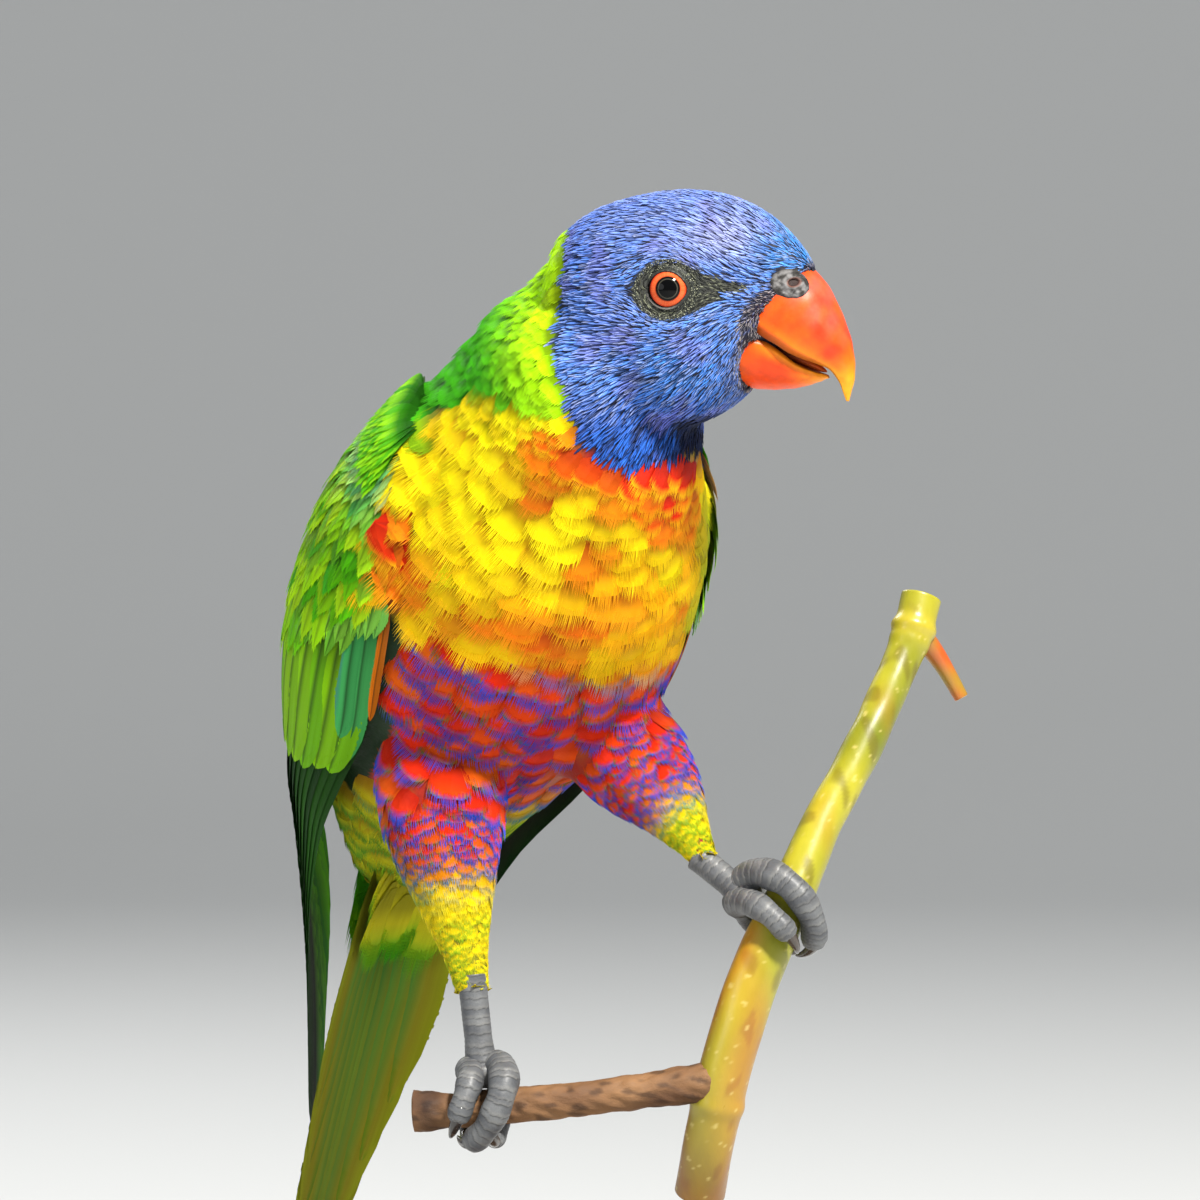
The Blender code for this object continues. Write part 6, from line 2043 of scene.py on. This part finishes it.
def stand_wood():
    m, nt, bsdf = fresh("base_wood")
    place = nt.nodes.new("ShaderNodeNewGeometry").outputs["Position"]
    mp = nt.nodes.new("ShaderNodeMapping")
    mp.inputs["Scale"].default_value = (5.0, 60.0, 60.0)
    nt.links.new(place, mp.inputs["Vector"])
    grain = node(nt, "ShaderNodeTexNoise", in_Scale=3.2, in_Detail=7.0, in_Roughness=0.6, in_Distortion=0.8)
    nt.links.new(mp.outputs[0], grain.inputs["Vector"])
    ramp = nt.nodes.new("ShaderNodeValToRGB")
    e = ramp.color_ramp.elements
    e[0].position, e[0].color = 0.32, (0.035, 0.016, 0.008, 1)
    e[1].position, e[1].color = 0.72, (0.15, 0.072, 0.034, 1)
    nt.links.new(grain.outputs["Fac"], ramp.inputs[0])
    nt.links.new(ramp.outputs[0], bsdf.inputs["Base Color"])
    nt.links.new(maths(nt, "MULTIPLY_ADD", grain.outputs["Fac"], 0.2, 0.28), bsdf.inputs["Roughness"])
    bsdf.inputs["Coat Weight"].default_value = 0.35
    bsdf.inputs["Coat Roughness"].default_value = 0.15
    b = node(nt, "ShaderNodeBump", in_Strength=0.15, in_Distance=0.0002)
    nt.links.new(grain.outputs["Fac"], b.inputs["Height"])
    nt.links.new(b.outputs[0], bsdf.inputs["Normal"])
    return m


def rod_metal():
    m, nt, bsdf = fresh("brushed_rod")
    place = nt.nodes.new("ShaderNodeNewGeometry").outputs["Position"]
    mp = nt.nodes.new("ShaderNodeMapping")
    mp.inputs["Scale"].default_value = (2500.0, 2500.0, 90.0)
    nt.links.new(place, mp.inputs["Vector"])
    tex = node(nt, "ShaderNodeTexNoise", in_Scale=1.0, in_Detail=3.0)
    nt.links.new(mp.outputs[0], tex.inputs["Vector"])
    bsdf.inputs["Metallic"].default_value = 1.0
    ramp = nt.nodes.new("ShaderNodeValToRGB")
    ramp.color_ramp.elements[0].color = (0.42, 0.42, 0.43, 1)
    ramp.color_ramp.elements[1].color = (0.62, 0.62, 0.62, 1)
    nt.links.new(tex.outputs["Fac"], ramp.inputs[0])
    nt.links.new(ramp.outputs[0], bsdf.inputs["Base Color"])
    nt.links.new(maths(nt, "MULTIPLY_ADD", tex.outputs["Fac"], 0.2, 0.25), bsdf.inputs["Roughness"])
    return m


end_p = np.array(STEM[-1][:3])
rod_x, rod_y = end_p[0], end_p[1] + BACK
profile = [(0.4, 0.0), (54.0, 0.0), (56.4, 0.0), (57.4, 0.5), (57.9, 1.4), (58.0, 2.4), (58.0, 4.6), (57.7, 5.4), (57.0, 5.9), (56.4, 6.0), (56.1, 6.3), (56.0, 6.8),
           (55.7, 7.6), (54.9, 8.4), (53.6, 8.85), (52.0, 9.0), (44.0, 9.0), (43.4, 8.95), (43.1, 8.7), (42.8, 8.7), (42.5, 8.95), (41.9, 9.0), (20.0, 9.0), (0.4, 9.0)]
turned("turned_base", profile, 160, (0.0, 0.0), stand_wood(), ("stand_base",))
top = end_p[2] + LIFT + 6.0
turned("brushed_rod", [(0.3, BASE_H - 4), (2.2, BASE_H - 4), (2.5, BASE_H - 3.6), (2.5, BASE_H + 0.1), (2.5, BASE_H + 3), (2.5, (BASE_H + top) / 2), (2.5, top - 0.6), (2.2, top), (0.3, top)],
       64, (rod_x, rod_y), rod_metal(), ("stand_rod",))


# ------------------------------------------------------------------ setting, light and camera
def stage_set():
    me = bpy.data.meshes.new("studio_floor")
    bm = bmesh.new()
    prof = [(-3.0, 0.0)] + [(1.6 + 1.2 * math.sin(a), 1.2 - 1.2 * math.cos(a)) for a in np.linspace(0, math.pi / 2, 24)] + [(2.8, 4.0)]
    a = math.radians(-29)
    back = Vector((-math.sin(a), math.cos(a), 0))
    side = Vector((math.cos(a), math.sin(a), 0))
    rows = [[bm.verts.new(back * d + side * s + Vector((0, 0, z))) for s in (-4.0, 4.0)] for d, z in prof]
    for r0, r1 in zip(rows, rows[1:]):
        bm.faces.new((r0[0], r0[1], r1[1], r1[0]))
    bm.to_mesh(me)
    bm.free()
    me.shade_smooth()
    o = bpy.data.objects.new("studio_floor", me)
    bpy.context.scene.collection.objects.link(o)
    m, nt, bsdf = fresh("pale_floor")
    tex = node(nt, "ShaderNodeTexNoise", in_Scale=3.0, in_Detail=3.0)
    ramp = nt.nodes.new("ShaderNodeValToRGB")
    ramp.color_ramp.elements[0].color = (0.64, 0.65, 0.65, 1)
    ramp.color_ramp.elements[1].color = (0.69, 0.70, 0.70, 1)
    nt.links.new(tex.outputs["Fac"], ramp.inputs[0])
    nt.links.new(ramp.outputs[0], bsdf.inputs["Base Color"])
    bsdf.inputs["Roughness"].default_value = 0.9
    bsdf.inputs["Specular IOR Level"].default_value = 0.1
    me.materials.append(m)


stage_set()
AZ, EL = math.radians(-29.0), math.radians(2.0)
back = Vector((math.sin(AZ) * math.cos(EL), -math.cos(AZ) * math.cos(EL), math.sin(EL)))
right = Vector((math.cos(AZ), math.sin(AZ), 0))
aim = Vector(metres((0, 0, -1.7)))
aim += back * (Vector(metres(HEAD_AT)) - aim).dot(back)


def lamp(name, way, distance, size, power, colour=(1, 1, 1), at_point=None):
    """An area light that looks at the bird from a direction in the camera's terms: right, up, towards the camera."""
    l = bpy.data.lights.new(name, "AREA")
    l.shape, l.size, l.energy, l.color = "DISK", size, power, colour
    o = bpy.data.objects.new(name, l)
    flat_back = Vector((back.x, back.y, 0)).normalized()
    d = (right * way[0] + Vector((0, 0, 1)) * way[1] + flat_back * way[2]).normalized()
    target = at_point or aim
    o.location = target + d * distance
    o.rotation_mode = "QUATERNION"
    o.rotation_quaternion = (-d).to_track_quat("-Z", "Y")
    bpy.context.scene.collection.objects.link(o)
    return o


lamp("key", (0.40, 0.86, 0.58), 1.4, 0.20, 44.0, (1.0, 0.97, 0.91))
lamp("fill", (-0.9, 0.30, 0.75), 1.6, 0.9, 5.5, (0.97, 0.98, 1.0))
lamp("rim", (-0.5, 0.7, -0.9), 1.3, 0.5, 5.0, (1.0, 1.0, 1.0))
world = bpy.data.worlds.new("studio")
bpy.context.scene.world = world
world.use_nodes = True
world.node_tree.nodes["Background"].inputs[0].default_value = (0.88, 0.93, 1.0, 1)
world.node_tree.nodes["Background"].inputs[1].default_value = 0.27

cam = bpy.data.cameras.new("camera")
cam.sensor_width, cam.lens, cam.clip_start, cam.clip_end = 36.0, 36 * 1.5 / 0.2, 0.05, 50
co = bpy.data.objects.new("camera", cam)
co.location = aim + back * 1.5
co.rotation_mode = "QUATERNION"
co.rotation_quaternion = (-back).to_track_quat("-Z", "Y")
bpy.context.scene.collection.objects.link(co)
bpy.context.scene.camera = co
bpy.context.scene.view_settings.view_transform = "Standard"
